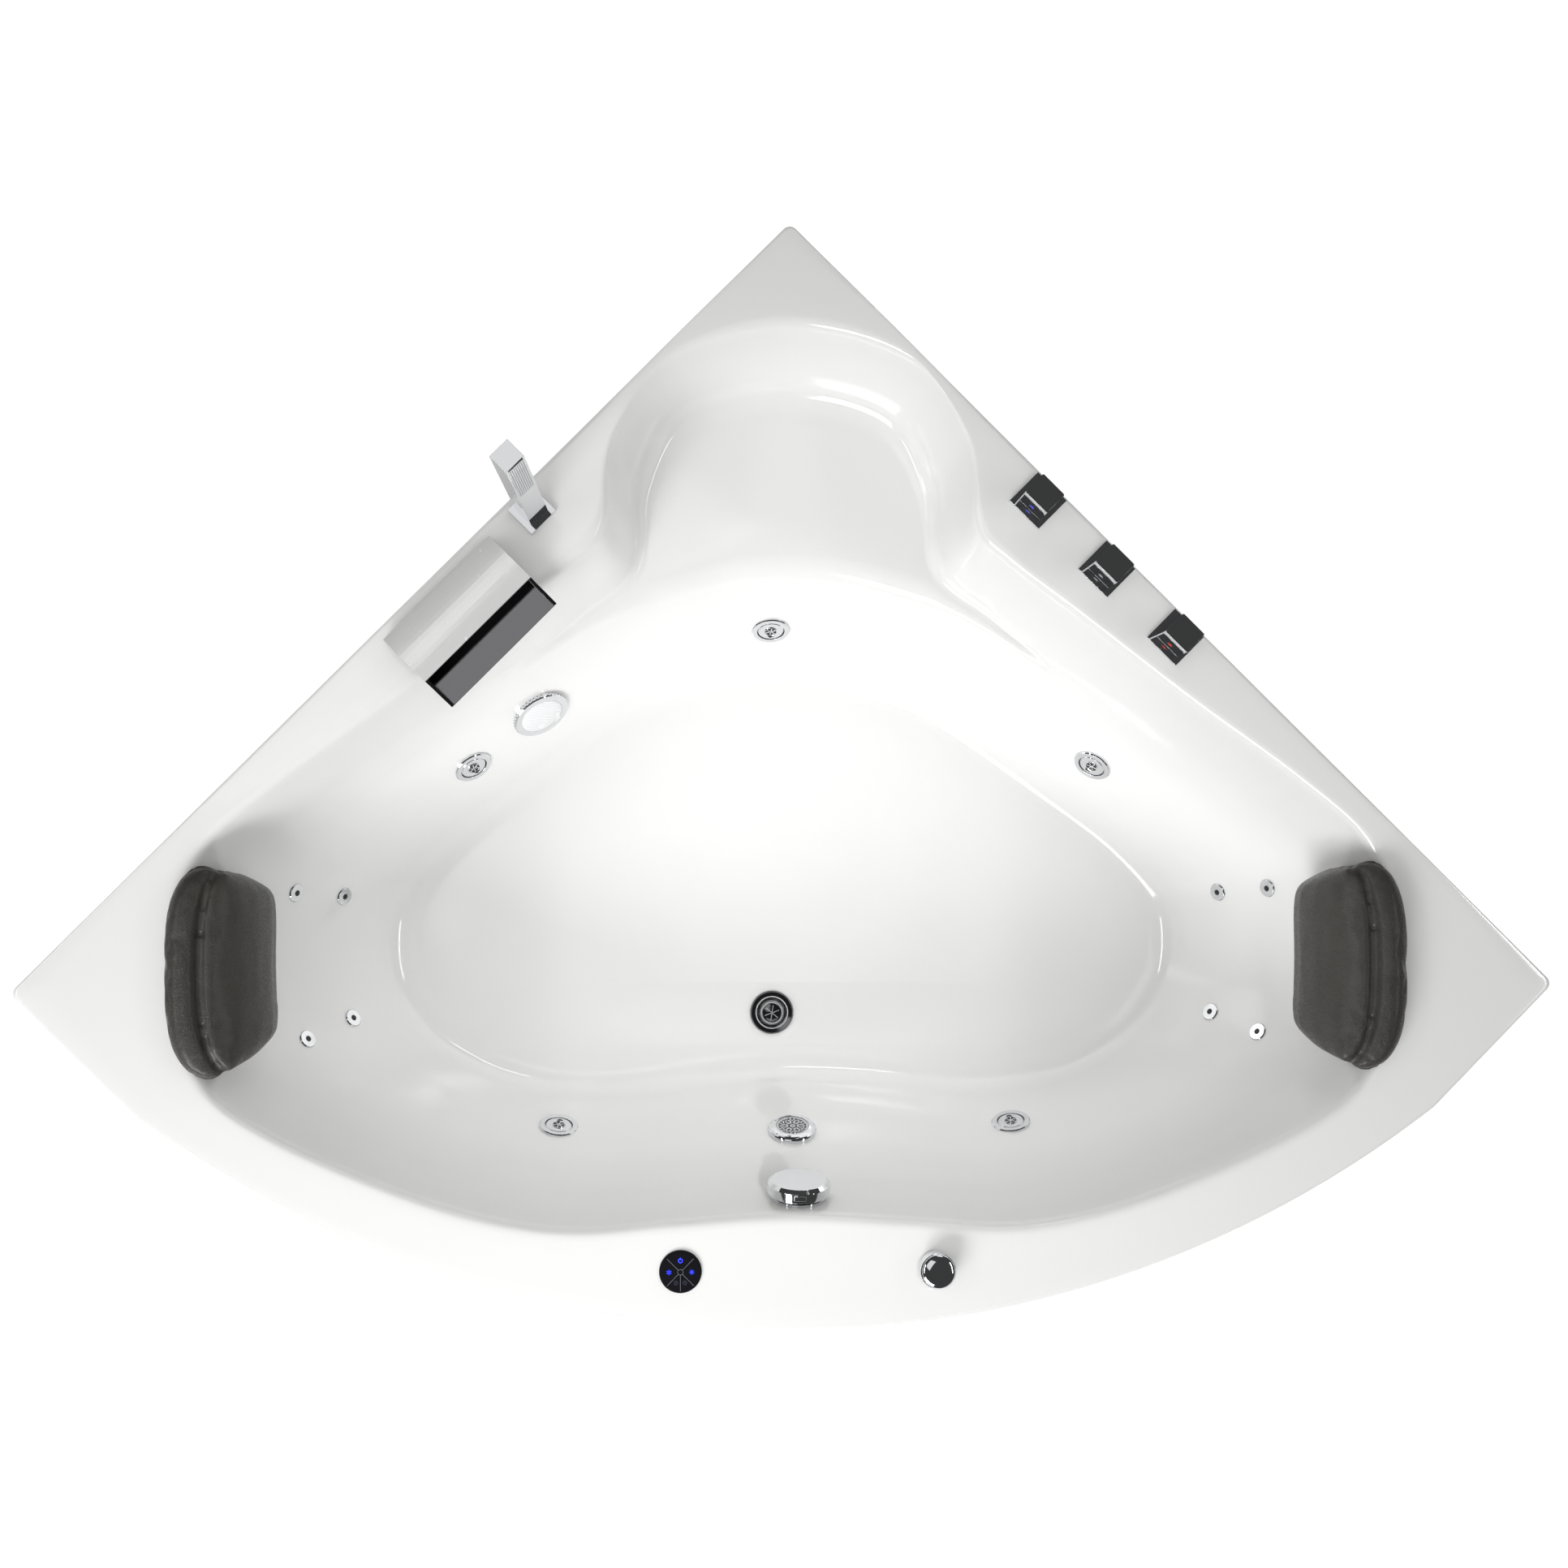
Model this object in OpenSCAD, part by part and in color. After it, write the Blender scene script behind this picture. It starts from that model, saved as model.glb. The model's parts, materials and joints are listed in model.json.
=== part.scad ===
/* [Tub] */
// Length of each of the two sides that stand against the walls
wall_side = 1500; // [1400:10:1600]
// Length of the short straight end at each far corner
end_side = 240; // [200:5:280]
// Radius of the bowed front edge
front_radius = 1480; // [1400:10:1700]
// Height of the basin floor above the ground
floor_h = 220; // [200:5:290]
// Depth of the basin floor below the rim
basin_depth = 430; // [400:5:450]
// Depth of the corner seat below the rim
seat_depth = 185; // [160:5:210]
// Thickness of the moulded shell
shell_t = 6; // [5:0.5:8]
// Height of the turned-down flange round the rim
flange_drop = 40; // [30:1:50]
// Radius of the three outer corners of the rim
corner_r = 12; // [8:1:16]

/* [Front panel] */
// Thickness of the front panel
apron_t = 5; // [4:0.5:8]
// Gap between the front panel and the floor
apron_lift = 15; // [8:1:25]

/* [Frame] */
// Width of the square steel tube
tube_w = 30; // [25:1:35]
// Thickness of the board under the basin floor
board_t = 20; // [16:1:24]
// Diameter of a foot pad
pad_d = 60; // [45:1:70]
// Diameter of a foot screw
foot_screw_d = 12; // [10:1:16]

/* [Massage system] */
// Diameter of the ring of a large jet
jet_ring_d = 60; // [56:1:66]
// Diameter of the turning nozzle of a large jet
jet_nozzle_d = 41; // [38:1:43]
// Diameter of the rosette of a small back jet
back_jet_d = 28; // [26:1:34]
// Diameter of the underwater light
light_d = 90; // [80:1:96]
// Diameter of the suction cover
suction_d = 73; // [68:1:80]
// Outer diameter of the water pipes
water_pipe_d = 32; // [28:1:36]
// Outer diameter of the suction pipe
suction_pipe_d = 44; // [40:1:50]
// Outer diameter of the air pipes
air_pipe_d = 16; // [12:1:20]
// Diameter of the pump motor
motor_d = 140; // [120:1:150]
// Length of the pump motor
motor_len = 200; // [180:1:230]

/* [Waste] */
// Diameter of the drain flange
drain_d = 70; // [66:1:76]
// Diameter of the drain plug
plug_d = 42; // [38:1:43]
// Diameter of the overflow cap
overflow_cap_d = 88; // [80:1:92]
// Outer diameter of the overflow and waste pipes
waste_pipe_d = 40; // [32:1:44]

/* [Taps and controls] */
// Side of the square base plate of a tap
tap_plate = 56; // [52:1:60]
// Side of the tap block along the wall
tap_block_w = 41; // [36:1:44]
// Side of the tap block across the rim
tap_block_d = 35; // [32:1:40]
// Height of the tap block with its plate
tap_height = 56; // [48:1:64]
// Distance from one tap to the next
tap_pitch = 134; // [110:1:150]
// Width of the waterfall spout along the wall
spout_w = 200; // [180:1:220]
// Reach of the waterfall spout across the rim
spout_reach = 128; // [115:1:140]
// Side of the square hand shower
handset_w = 31; // [28:1:34]
// Length of the hand shower above its plate
handset_len = 255; // [220:5:280]
// Diameter of the touch panel
touch_d = 58; // [54:1:64]
// Diameter of the air control knob
air_knob_d = 48; // [42:1:52]

/* [Headrests] */
// Length of a headrest along the rim
headrest_len = 312; // [280:2:330]
// Reach of a headrest from the rim into the basin
headrest_reach = 128; // [110:1:140]

/* [Hidden] */
$fn = 48;
overrun = 2;
gap = 0.3;
bore_gap = 0.4;

half_span = wall_side / sqrt(2);
end_run = end_side / sqrt(2);
arc_x = half_span - end_run;
arc_cy = -end_run + sqrt(pow(front_radius, 2) - pow(arc_x, 2));
front_y = arc_cy - front_radius;
apex_y = half_span - corner_r * (sqrt(2) - 1);
mid_y = (front_y + apex_y) / 2;
tub_height = floor_h + basin_depth;

// Plan of the shell from the middle of the front to the wall corner, right half.
// Every point is a share of the wall side, from the middle of the chord between the far corners.
mouth_shares = [[0, -0.205], [0.107, -0.211], [0.203, -0.217], [0.293, -0.202], [0.387, -0.169],
    [0.477, -0.127], [0.53, -0.087], [0.549, -0.027], [0.55, 0.073], [0.533, 0.133], [0.47, 0.19],
    [0.373, 0.261], [0.267, 0.343], [0.2, 0.394], [0.172, 0.427], [0.164, 0.507], [0.11, 0.581], [0, 0.611]];
floor_shares = [[0, -0.115], [0.083, -0.119], [0.16, -0.129], [0.23, -0.131], [0.3, -0.116],
    [0.36, -0.08], [0.395, -0.037], [0.411, 0.003], [0.411, 0.05], [0.393, 0.09], [0.347, 0.139],
    [0.277, 0.191], [0.207, 0.241], [0.157, 0.272], [0.12, 0.287], [0.077, 0.299], [0.037, 0.307], [0, 0.31]];
// Where the seat meets the wall behind it, and its front edge, from station seat_k on
seat_back_shares = [[0.251, 0.319], [0.199, 0.36], [0.151, 0.403], [0.142, 0.49], [0.1, 0.557], [0, 0.581]];
seat_front_shares = [[0.244, 0.313], [0.193, 0.347], [0.148, 0.369], [0.1, 0.385], [0.055, 0.396], [0, 0.4]];
seat_k = 12;
last_k = len(mouth_shares) - 1;
seat_merge = 6;
// How far in and down the basin wall turns, as shares of its run and of the basin depth
upper_turn_shares = [0.22, 0.36];
lower_turn_shares = [0.36, 0.52];
floor_middle_share = 0.1;
floor_ring_share = 0.45;
fillet_share = 0.45;

// Stations at which the front bow and the straight end stop
arc_end_k = 6;
far_corner_k = 7.5;
corner_step = 0.08;
station_step = 0.5;

edge_r = 8;
mouth_r = 16;
seat_back_r = 40;
seat_edge_r = 30;
floor_r = 42;
fillet_radii = [edge_r, mouth_r, seat_back_r, seat_edge_r, floor_r];
fillet_counts = [3, 4, 4, 4, 4];

function mix(a, b, t) = a + (b - a) * t;
function station(shares, k, z) = [shares[k][0] * wall_side, shares[k][1] * wall_side, z];
mouth_pts = [for (k = [0 : last_k]) station(mouth_shares, k, 0)];
floor_pts = [for (k = [0 : last_k]) station(floor_shares, k, -basin_depth)];
function wall_turn(k, turn) = let (p = mix(mouth_pts[k], floor_pts[k], turn[0]))
    [p[0], p[1], -turn[1] * basin_depth];
upper_pts = [for (k = [0 : last_k]) k < seat_k ? wall_turn(k, upper_turn_shares)
    : station(seat_back_shares, k - seat_k, -seat_depth)];
lower_pts = [for (k = [0 : last_k]) k < seat_k ? wall_turn(k, lower_turn_shares)
    : station(seat_front_shares, k - seat_k, -seat_depth - (k == seat_k ? seat_merge : 0))];
floor_middle = [0, floor_middle_share * wall_side, -basin_depth];

function flip(p) = [-p[0], p[1], p[2]];
function control(p, k) = k < 0 ? flip(p[-k]) : k > last_k ? flip(p[2 * last_k - k]) : p[k];
function spline(p, u) = let (k = min(floor(u), last_k - 1), t = u - k,
    a = control(p, k - 1), b = control(p, k), c = control(p, k + 1), d = control(p, k + 2))
    0.5 * (2 * b + (c - a) * t + (2 * a - 5 * b + 4 * c - d) * t * t
        + (3 * b - a - 3 * c + d) * t * t * t);
function round_corner(cx, cy, a, z) = [cx + corner_r * cos(a), cy + corner_r * sin(a), z];
function outline(u, z) =
    u <= arc_end_k ? let (a = u / arc_end_k * asin(arc_x / front_radius))
        [front_radius * sin(a), arc_cy - front_radius * cos(a), z]
    : u < far_corner_k - corner_step ?
        mix([arc_x, -end_run, z], [half_span, 0, z], (1 - corner_r / end_side)
            * (u - arc_end_k) / (far_corner_k - corner_step - arc_end_k))
    : u <= far_corner_k + corner_step ? round_corner(half_span - corner_r * sqrt(2), 0,
        -45 + 45 * (u - far_corner_k + corner_step) / corner_step, z)
    : u < last_k - corner_step ? let (along = corner_r + (wall_side - 2 * corner_r)
        * (u - far_corner_k - corner_step) / (last_k - far_corner_k - 2 * corner_step))
        mix([half_span, 0, z], [0, half_span, z], along / wall_side)
    : round_corner(0, half_span - corner_r * sqrt(2), 45 + 45 * (u - last_k + corner_step) / corner_step, z);

function bend(a, b, c, r, count) = let (to_a = norm(a - b), to_c = norm(c - b),
    t = min(r, fillet_share * to_a, fillet_share * to_c), p = mix(b, a, t / to_a), q = mix(b, c, t / to_c))
    [for (i = [0 : count - 1]) let (s = i / (count - 1))
        (1 - s) * (1 - s) * p + 2 * s * (1 - s) * b + s * s * q];
function profile(u) = let (floor_edge = spline(floor_pts, u),
    v = [outline(u, -flange_drop), outline(u, 0), spline(mouth_pts, u), spline(upper_pts, u),
        spline(lower_pts, u), floor_edge, mix(floor_edge, floor_middle, floor_ring_share)],
    bends = [for (k = [1 : 5]) bend(v[k - 1], v[k], v[k + 1], fillet_radii[k - 1], fillet_counts[k - 1])],
    wall_end = bends[3][fillet_counts[3] - 1])
    concat([v[0]], bends[0], bends[1], bends[2], bends[3],
        [mix(wall_end, bends[4][0], 0.5)], bends[4], [v[6]]);

half_columns = concat([for (u = [0 : station_step : far_corner_k - station_step]) u],
    [far_corner_k - corner_step, far_corner_k, far_corner_k + corner_step],
    [for (u = [far_corner_k + station_step : station_step : last_k - station_step]) u],
    [last_k - corner_step, last_k]);
columns = concat([for (u = half_columns) [u, 1]],
    [for (i = [len(half_columns) - 2 : -1 : 1]) [half_columns[i], -1]]);
shell_top = [for (c = columns) [for (p = profile(c[0])) [c[1] * p[0], p[1], p[2]]]];
column_count = len(columns);
ring_count = len(shell_top[0]);
function unit(v) = v / norm(v);
function shell_normal(i, j) = unit(cross(
    shell_top[(i + 1) % column_count][j] - shell_top[(i + column_count - 1) % column_count][j],
    shell_top[i][min(j + 1, ring_count - 1)] - shell_top[i][max(j - 1, 0)]));
shell_under = [for (i = [0 : column_count - 1]) [for (j = [0 : ring_count - 1])
    shell_top[i][j] - shell_t * shell_normal(i, j)]];

// A seat on the basin wall is [station, ring, side]; its z axis points into the basin
function seat_pt(f) = let (j = floor(f[1]), a = profile(f[0]), p = mix(a[j], a[j + 1], f[1] - j))
    [f[2] * p[0], p[1], p[2]];
function seat_normal(f) = let (j = floor(f[1]), a = profile(f[0] - station_step / 2),
    b = profile(f[0] + station_step / 2), c = profile(f[0]), n = unit(cross(b[j] - a[j], c[j + 1] - c[j])))
    [f[2] * n[0], n[1], n[2]];
function behind(f, back) = seat_pt(f) - back * seat_normal(f);

large_jets = [[16.7, 16.1, -1], [10.9, 15.8, -1], [10.9, 15.8, 1], [2.75, 15.85, -1], [2.75, 15.85, 1]];
back_jets = [[8.35, 14.35], [8.4, 15.95], [6.15, 15.95], [6.1, 14.3]];
light_seat = [11.7, 15.9, -1];
suction_seat = [0.06, 15.2, 1];
overflow_seat = [0.06, 7.4, 1];
drain_share = [-0.012, -0.053];
touch_share = [-0.103, -0.255];
air_knob_share = [0.13, -0.254];
back_gap = 0.8;
spot_h = 6;
spot_gap = 0.5;
hole_reach = 4 * shell_t;

module in_tub() translate([0, -mid_y, tub_height]) children();
module turned_to(n) rotate([0, acos(n[2]), atan2(n[1], n[0])]) children();
module at_seat(f) in_tub() translate(seat_pt(f)) turned_to(seat_normal(f)) children();
module on_rim(x, y) in_tub() translate([x, y, 0]) children();
module at_drain() in_tub() translate([drain_share[0] * wall_side, drain_share[1] * wall_side, -basin_depth])
    children();
module at_touch() on_rim(touch_share[0] * wall_side, touch_share[1] * wall_side) children();
module at_air_knob() on_rim(air_knob_share[0] * wall_side, air_knob_share[1] * wall_side) children();
// Places on the rim: s runs along a wall side from the wall corner, d runs in from the wall
module on_left_rim(s, d) on_rim((d - s) / sqrt(2), half_span - (s + d) / sqrt(2)) rotate(-135) children();
module on_right_rim(s, d) on_rim((s - d) / sqrt(2), half_span - (s + d) / sqrt(2)) rotate(135) children();
module tube_between(a, b, r) translate(a) turned_to(unit(b - a)) cylinder(h = norm(b - a), r = r);
module ball_joint(place, r) translate(place) sphere(r = r);
module upright_joint(place, r) translate(place - [0, 0, r]) cylinder(h = 2 * r, r = r);
module pipe_run(points, r, socket_t, upright = false) {
    for (i = [1 : len(points) - 1]) tube_between(points[i - 1], points[i], r);
    if (len(points) > 2) for (i = [1 : len(points) - 2])
        if (upright) upright_joint(points[i], r + socket_t); else ball_joint(points[i], r + socket_t);
}
module lathe(points) rotate_extrude() polygon(points);

// Shell
dish_depth = 2.5;
dish_w = 14;
module shell_solid() {
    m = ring_count;
    top_middle = 2 * column_count * m;
    faces = [for (i = [0 : column_count - 1])
        let (a = i * m, b = (i + 1) % column_count * m, c = (column_count + i) * m,
            d = (column_count + (i + 1) % column_count) * m) each concat(
            [for (j = [0 : m - 2]) each [
                [a + j, a + j + 1, b + j + 1], [a + j, b + j + 1, b + j],
                [c + j, d + j + 1, c + j + 1], [c + j, d + j, d + j + 1]]],
            [[a, b, d], [a, d, c], [a + m - 1, top_middle, b + m - 1],
            [c + m - 1, d + m - 1, top_middle + 1]])];
    polyhedron(points = concat([for (c = shell_top) each c], [for (c = shell_under) each c],
        [floor_middle, floor_middle - [0, 0, shell_t]]), faces = faces);
}
module seat_cut(f, hole_r, spot_r) at_seat(f) {
    translate([0, 0, -hole_reach]) cylinder(h = hole_reach + spot_h, r = hole_r);
    cylinder(h = spot_h, r = spot_r + spot_gap);
}
module rim_cut(hole_r) translate([0, 0, -hole_reach]) cylinder(h = hole_reach + overrun, r = hole_r);
module tub_shell() color("white") difference() {
    in_tub() shell_solid();
    for (f = large_jets) seat_cut(f, jet_sleeve_r + bore_gap, jet_ring_d / 2);
    for (f = back_jets, side = [-1, 1]) seat_cut([f[0], f[1], side], back_jet_shank_r + bore_gap,
        back_jet_d / 2);
    seat_cut(light_seat, light_sleeve_r + bore_gap, light_d / 2);
    seat_cut(suction_seat, suction_sleeve_r + bore_gap, suction_d / 2);
    seat_cut(overflow_seat, overflow_sleeve_r + bore_gap, overflow_flange_r);
    at_drain() rim_cut(drain_sleeve_r + bore_gap);
    at_drain() translate([0, 0, -dish_depth])
        cylinder(h = dish_depth + overrun, r1 = drain_d / 2 + spot_gap, r2 = drain_d / 2 + dish_w);
    at_touch() rim_cut(touch_shank_r + bore_gap);
    at_air_knob() rim_cut(air_shank_r + bore_gap);
    for (k = [0 : 2]) at_tap(k) rim_cut(tap_shank_r + bore_gap);
    at_spout() translate([0, spout_shank_d, 0]) rim_cut(spout_shank_r + bore_gap);
    at_handset() rim_cut(handset_shank_r + bore_gap);
}

// Front panel
apron_inset = 10;
apron_top_gap = 0.4;
module bow_plan(inset, over) {
    w = half_span - inset * sqrt(2);
    intersection() {
        translate([0, arc_cy]) circle(r = front_radius - inset, $fn = 180);
        polygon([[w + over, over], [-w - over, over], [0, -w]]);
    }
}
module apron() color("white") translate([0, -mid_y, apron_lift])
    linear_extrude(tub_height - shell_t - apron_top_gap - apron_lift) difference() {
        bow_plan(apron_inset, 0);
        bow_plan(apron_inset + apron_t, overrun);
    }

// Board and frame
board_share = 0.16;
board_hole_r = 48;
frame_top = floor_h - shell_t - board_t;
tube_wall = 2;
frame_inset = 60;
frame_half = half_span - frame_inset * sqrt(2);
frame_end_share = 0.08;
frame_front_share = 0.22;
frame_front_x = frame_front_share * wall_side;
foot_clear = 9.2;
frame_front_r = front_radius - apron_inset - apron_t - pad_d / 2 - foot_clear;
beam_shares = [-0.13, 0.03, 0.21, 0.46, 0.52];
frame_ring = [[0, frame_half], [frame_half, 0],
    [frame_half - frame_end_share * wall_side, -frame_end_share * wall_side],
    [frame_front_x, arc_cy - sqrt(pow(frame_front_r, 2) - pow(frame_front_x, 2))]];
frame_plan = concat(frame_ring, [for (i = [3 : -1 : 1]) [-frame_ring[i][0], frame_ring[i][1]]]);
function beam_half(y) = y > 0 ? frame_half - y
    : y > frame_ring[2][1] ? frame_half + y
    : mix(frame_ring[2][0], frame_ring[3][0], (y - frame_ring[2][1]) / (frame_ring[3][1] - frame_ring[2][1]));
module base_board() color("tan") translate([0, -mid_y, frame_top]) linear_extrude(board_t) difference() {
    polygon([for (side = [1, -1], k = [0 : last_k]) let (i = side > 0 ? k : last_k - k,
        p = mix(floor_pts[i], floor_middle, board_share))
        if (side > 0 || (i > 0 && i < last_k)) [side * p[0], p[1]]]);
    translate(drain_share * wall_side) circle(r = board_hole_r);
}
// Square tubes, drawn solid or, short of the joints, as the hollow inside
hollow_end = 1.5 * tube_w;
module bar(a, b, w, end) translate([a[0], a[1], frame_top - (tube_w + w) / 2])
    rotate(atan2(b[1] - a[1], b[0] - a[0])) translate([end, -w / 2, 0]) cube([norm(b - a) - 2 * end, w, w]);
post_gap = 0.4;
post_top = tub_height - shell_t - post_gap;
module frame_tubes(w, end) {
    for (i = [0 : 6]) bar(frame_plan[i], frame_plan[(i + 1) % 7], w, end);
    for (share = beam_shares) let (y = share * wall_side, x = beam_half(y)) bar([-x, y], [x, y], w, end);
}
module frame_posts(w, low, high) for (p = frame_plan)
    translate([p[0] - w / 2, p[1] - w / 2, low]) cube([w, w, high - low]);
shelf_share = [-0.33, -0.18];
shelf_size = [170, 124, 4];
foot_ids = [0, 1, 3, 4, 6];
module base_frame() color("dimgray") translate([0, -mid_y, 0]) difference() {
    union() {
        frame_tubes(tube_w, 0);
        frame_posts(tube_w, frame_top - tube_w, post_top);
        translate([shelf_share[0] * wall_side, shelf_share[1] * wall_side, frame_top - shelf_size[2] / 2])
            cube(shelf_size, center = true);
    }
    frame_tubes(tube_w - 2 * tube_wall, hollow_end);
    frame_posts(tube_w - 2 * tube_wall, frame_top + tube_wall, post_top - tube_wall);
    for (i = foot_ids) translate([frame_plan[i][0], frame_plan[i][1], frame_top - tube_w - overrun])
        cylinder(h = tube_w + tube_wall + 2 * overrun, r = foot_screw_d / 2 + bore_gap);
}

// Levelling feet
pad_h = 14;
foot_nut_h = 9;
foot_nut_d = 22;
screw_above = 25;
module foot(k) {
    p = frame_plan[foot_ids[k]];
    translate([p[0], p[1] - mid_y, 0]) {
        color("black") lathe([[0, 0], [pad_d / 2, 0], [pad_d / 2, pad_h / 2], [foot_screw_d, pad_h],
            [0, pad_h]]);
        color("silver") cylinder(h = frame_top + screw_above, r = foot_screw_d / 2);
        color("silver") translate([0, 0, frame_top - tube_w - gap - foot_nut_h])
            cylinder(h = foot_nut_h, d = foot_nut_d, $fn = 6);
    }
}
module foot_corner() foot(0);
module foot_right() foot(1);
module foot_front_right() foot(2);
module foot_front_left() foot(3);
module foot_left() foot(4);

// Large jets, drawn along the z axis of their seats
jet_flange_h = 4;
jet_edge = 1.5;
jet_play = 1;
jet_sleeve_t = 2;
jet_sleeve_len = 24;
jet_web_t = 3;
jet_stem_r = 7;
jet_stem_len = 27;
jet_face_h = 3.4;
jet_face_back = 2;
jet_eye_r = 4.5;
jet_eye_x = 12;
jet_bore_r = jet_nozzle_d / 2 + jet_play;
jet_sleeve_r = jet_bore_r + jet_sleeve_t;
module jet_ring(i) color("silver") at_seat(large_jets[i]) lathe([
    [jet_stem_r + gap, -jet_sleeve_len], [jet_sleeve_r, -jet_sleeve_len], [jet_sleeve_r, gap],
    [jet_ring_d / 2, gap], [jet_ring_d / 2, jet_flange_h - jet_edge],
    [jet_ring_d / 2 - jet_edge, jet_flange_h],
    [jet_bore_r, jet_flange_h], [jet_bore_r, jet_web_t - jet_sleeve_len],
    [jet_stem_r + gap, jet_web_t - jet_sleeve_len]]);
module jet_nozzle(i) color("gainsboro") at_seat(large_jets[i]) difference() {
    lathe([[0, -jet_stem_len], [jet_stem_r, -jet_stem_len], [jet_stem_r, -jet_face_back],
        [jet_nozzle_d / 2, -jet_face_back], [jet_nozzle_d / 2, jet_face_h - jet_edge],
        [jet_nozzle_d / 2 - jet_edge, jet_face_h], [0, jet_face_h]]);
    translate([jet_eye_x, 0, -jet_face_back - overrun])
        cylinder(h = jet_face_h + jet_face_back + 2 * overrun, r = jet_eye_r);
}
module jet_ring_back() jet_ring(0);
module jet_ring_side_left() jet_ring(1);
module jet_ring_side_right() jet_ring(2);
module jet_ring_front_left() jet_ring(3);
module jet_ring_front_right() jet_ring(4);
module jet_nozzle_back() jet_nozzle(0);
module jet_nozzle_side_left() jet_nozzle(1);
module jet_nozzle_side_right() jet_nozzle(2);
module jet_nozzle_front_left() jet_nozzle(3);
module jet_nozzle_front_right() jet_nozzle(4);

// Water pipes behind the basin, with a body at each large jet
jet_cup_r = 31;
jet_cup_depth = 38;
jet_cup_end = 46;
jet_nut_r = 36;
jet_nut_h = 8;
jet_boss_r = 19;
manifold_back = 64;
socket_t = 4;
back_z = -shell_t - back_gap;
// Behind the front wall, which bows towards the bather
bow_gap = 0.5;
bow_back_z = back_z - bow_gap;
water_turn_shares = [[0.175, 0.365], [0.275, 0.325], [0.495, 0.155], [0.54, 0.06], [0.54, -0.05],
    [0.43, -0.16]];
function water_turn(k, side) = [side * water_turn_shares[k][0] * wall_side,
    water_turn_shares[k][1] * wall_side,
    seat_pt(large_jets[0])[2]];
function jet_back(i) = behind(large_jets[i], manifold_back);
function water_side(side, mid, front) = concat(
    [jet_back(0), water_turn(0, side), water_turn(1, side), jet_back(mid)],
    [for (k = [2 : 5]) water_turn(k, side)], [jet_back(front)]);
module jet_body(i) at_seat(large_jets[i]) {
    lathe([[0, -jet_cup_end], [jet_cup_r, -jet_cup_end], [jet_cup_r, back_z - jet_nut_h],
        [jet_nut_r, back_z - jet_nut_h], [jet_nut_r, back_z], [jet_sleeve_r + gap, back_z],
        [jet_sleeve_r + gap, -jet_cup_depth], [0, -jet_cup_depth]]);
    translate([0, 0, -manifold_back]) cylinder(h = manifold_back - jet_cup_end + overrun, r = jet_boss_r);
}
module water_manifold() color("white") {
    in_tub() {
        pipe_run(water_side(-1, 1, 3), water_pipe_d / 2, socket_t, true);
        pipe_run(water_side(1, 2, 4), water_pipe_d / 2, socket_t, true);
        pipe_run([jet_back(0), feed_over, feed_top, feed_low], water_pipe_d / 2, socket_t, true);
        for (i = [0 : 4]) upright_joint(jet_back(i), water_pipe_d / 2 + socket_t);
    }
    for (i = [0 : 4]) jet_body(i);
}

// Small back jets and their air pipes
back_jet_h = 3;
back_jet_shank_r = 8;
back_jet_shank_len = 18;
back_jet_bore_r = 4;
air_cup_r = 13;
air_cup_depth = 20;
air_cup_end = 34;
air_nut_r = 15;
air_nut_h = 6;
air_back = 46;
air_boss_r = 9;
air_turn_shares = [[0.46, -0.155], [0.2, -0.235]];
air_low = 110;
module back_jet(f) at_seat(f) lathe([[back_jet_bore_r, -back_jet_shank_len],
    [back_jet_shank_r, -back_jet_shank_len], [back_jet_shank_r, gap], [back_jet_d / 2, gap],
    [back_jet_d / 2, back_jet_h / 2], [back_jet_d / 2 - jet_edge, back_jet_h],
    [back_jet_bore_r, back_jet_h]]);
module back_jets_left() color("silver") for (f = back_jets) back_jet([f[0], f[1], -1]);
module back_jets_right() color("silver") for (f = back_jets) back_jet([f[0], f[1], 1]);
module air_body(f) at_seat(f) {
    lathe([[0, -air_cup_end], [air_cup_r, -air_cup_end], [air_cup_r, back_z - air_nut_h],
        [air_nut_r, back_z - air_nut_h], [air_nut_r, back_z], [back_jet_shank_r + gap, back_z],
        [back_jet_shank_r + gap, -air_cup_depth], [0, -air_cup_depth]]);
    translate([0, 0, -air_back]) cylinder(h = air_back - air_cup_end + overrun, r = air_boss_r);
}
air_junction = [air_knob_share[0] * wall_side, air_knob_share[1] * wall_side, -air_low];
function air_turn(side, k) = [side * air_turn_shares[k][0] * wall_side, air_turn_shares[k][1] * wall_side,
    -air_low];
function air_side(side) = concat([for (f = back_jets) behind([f[0], f[1], side], air_back)],
    [air_turn(side, 0), air_turn(side, 1)]);
air_tee_r = air_pipe_d / 2 + socket_t / 2;
module air_manifold() color("lightgray") {
    in_tub() {
        for (side = [-1, 1]) {
            pipe_run(air_side(side), air_pipe_d / 2, socket_t / 2);
            tube_between(air_turn(side, 1), air_junction, air_pipe_d / 2);
            upright_joint(air_turn(side, 1), air_tee_r);
        }
        tube_between(air_junction, air_junction + [0, 0, air_low - air_shank_len - gap], air_pipe_d / 2);
        upright_joint(air_junction, air_tee_r);
    }
    for (f = back_jets, side = [-1, 1]) air_body([f[0], f[1], side]);
}

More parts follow.
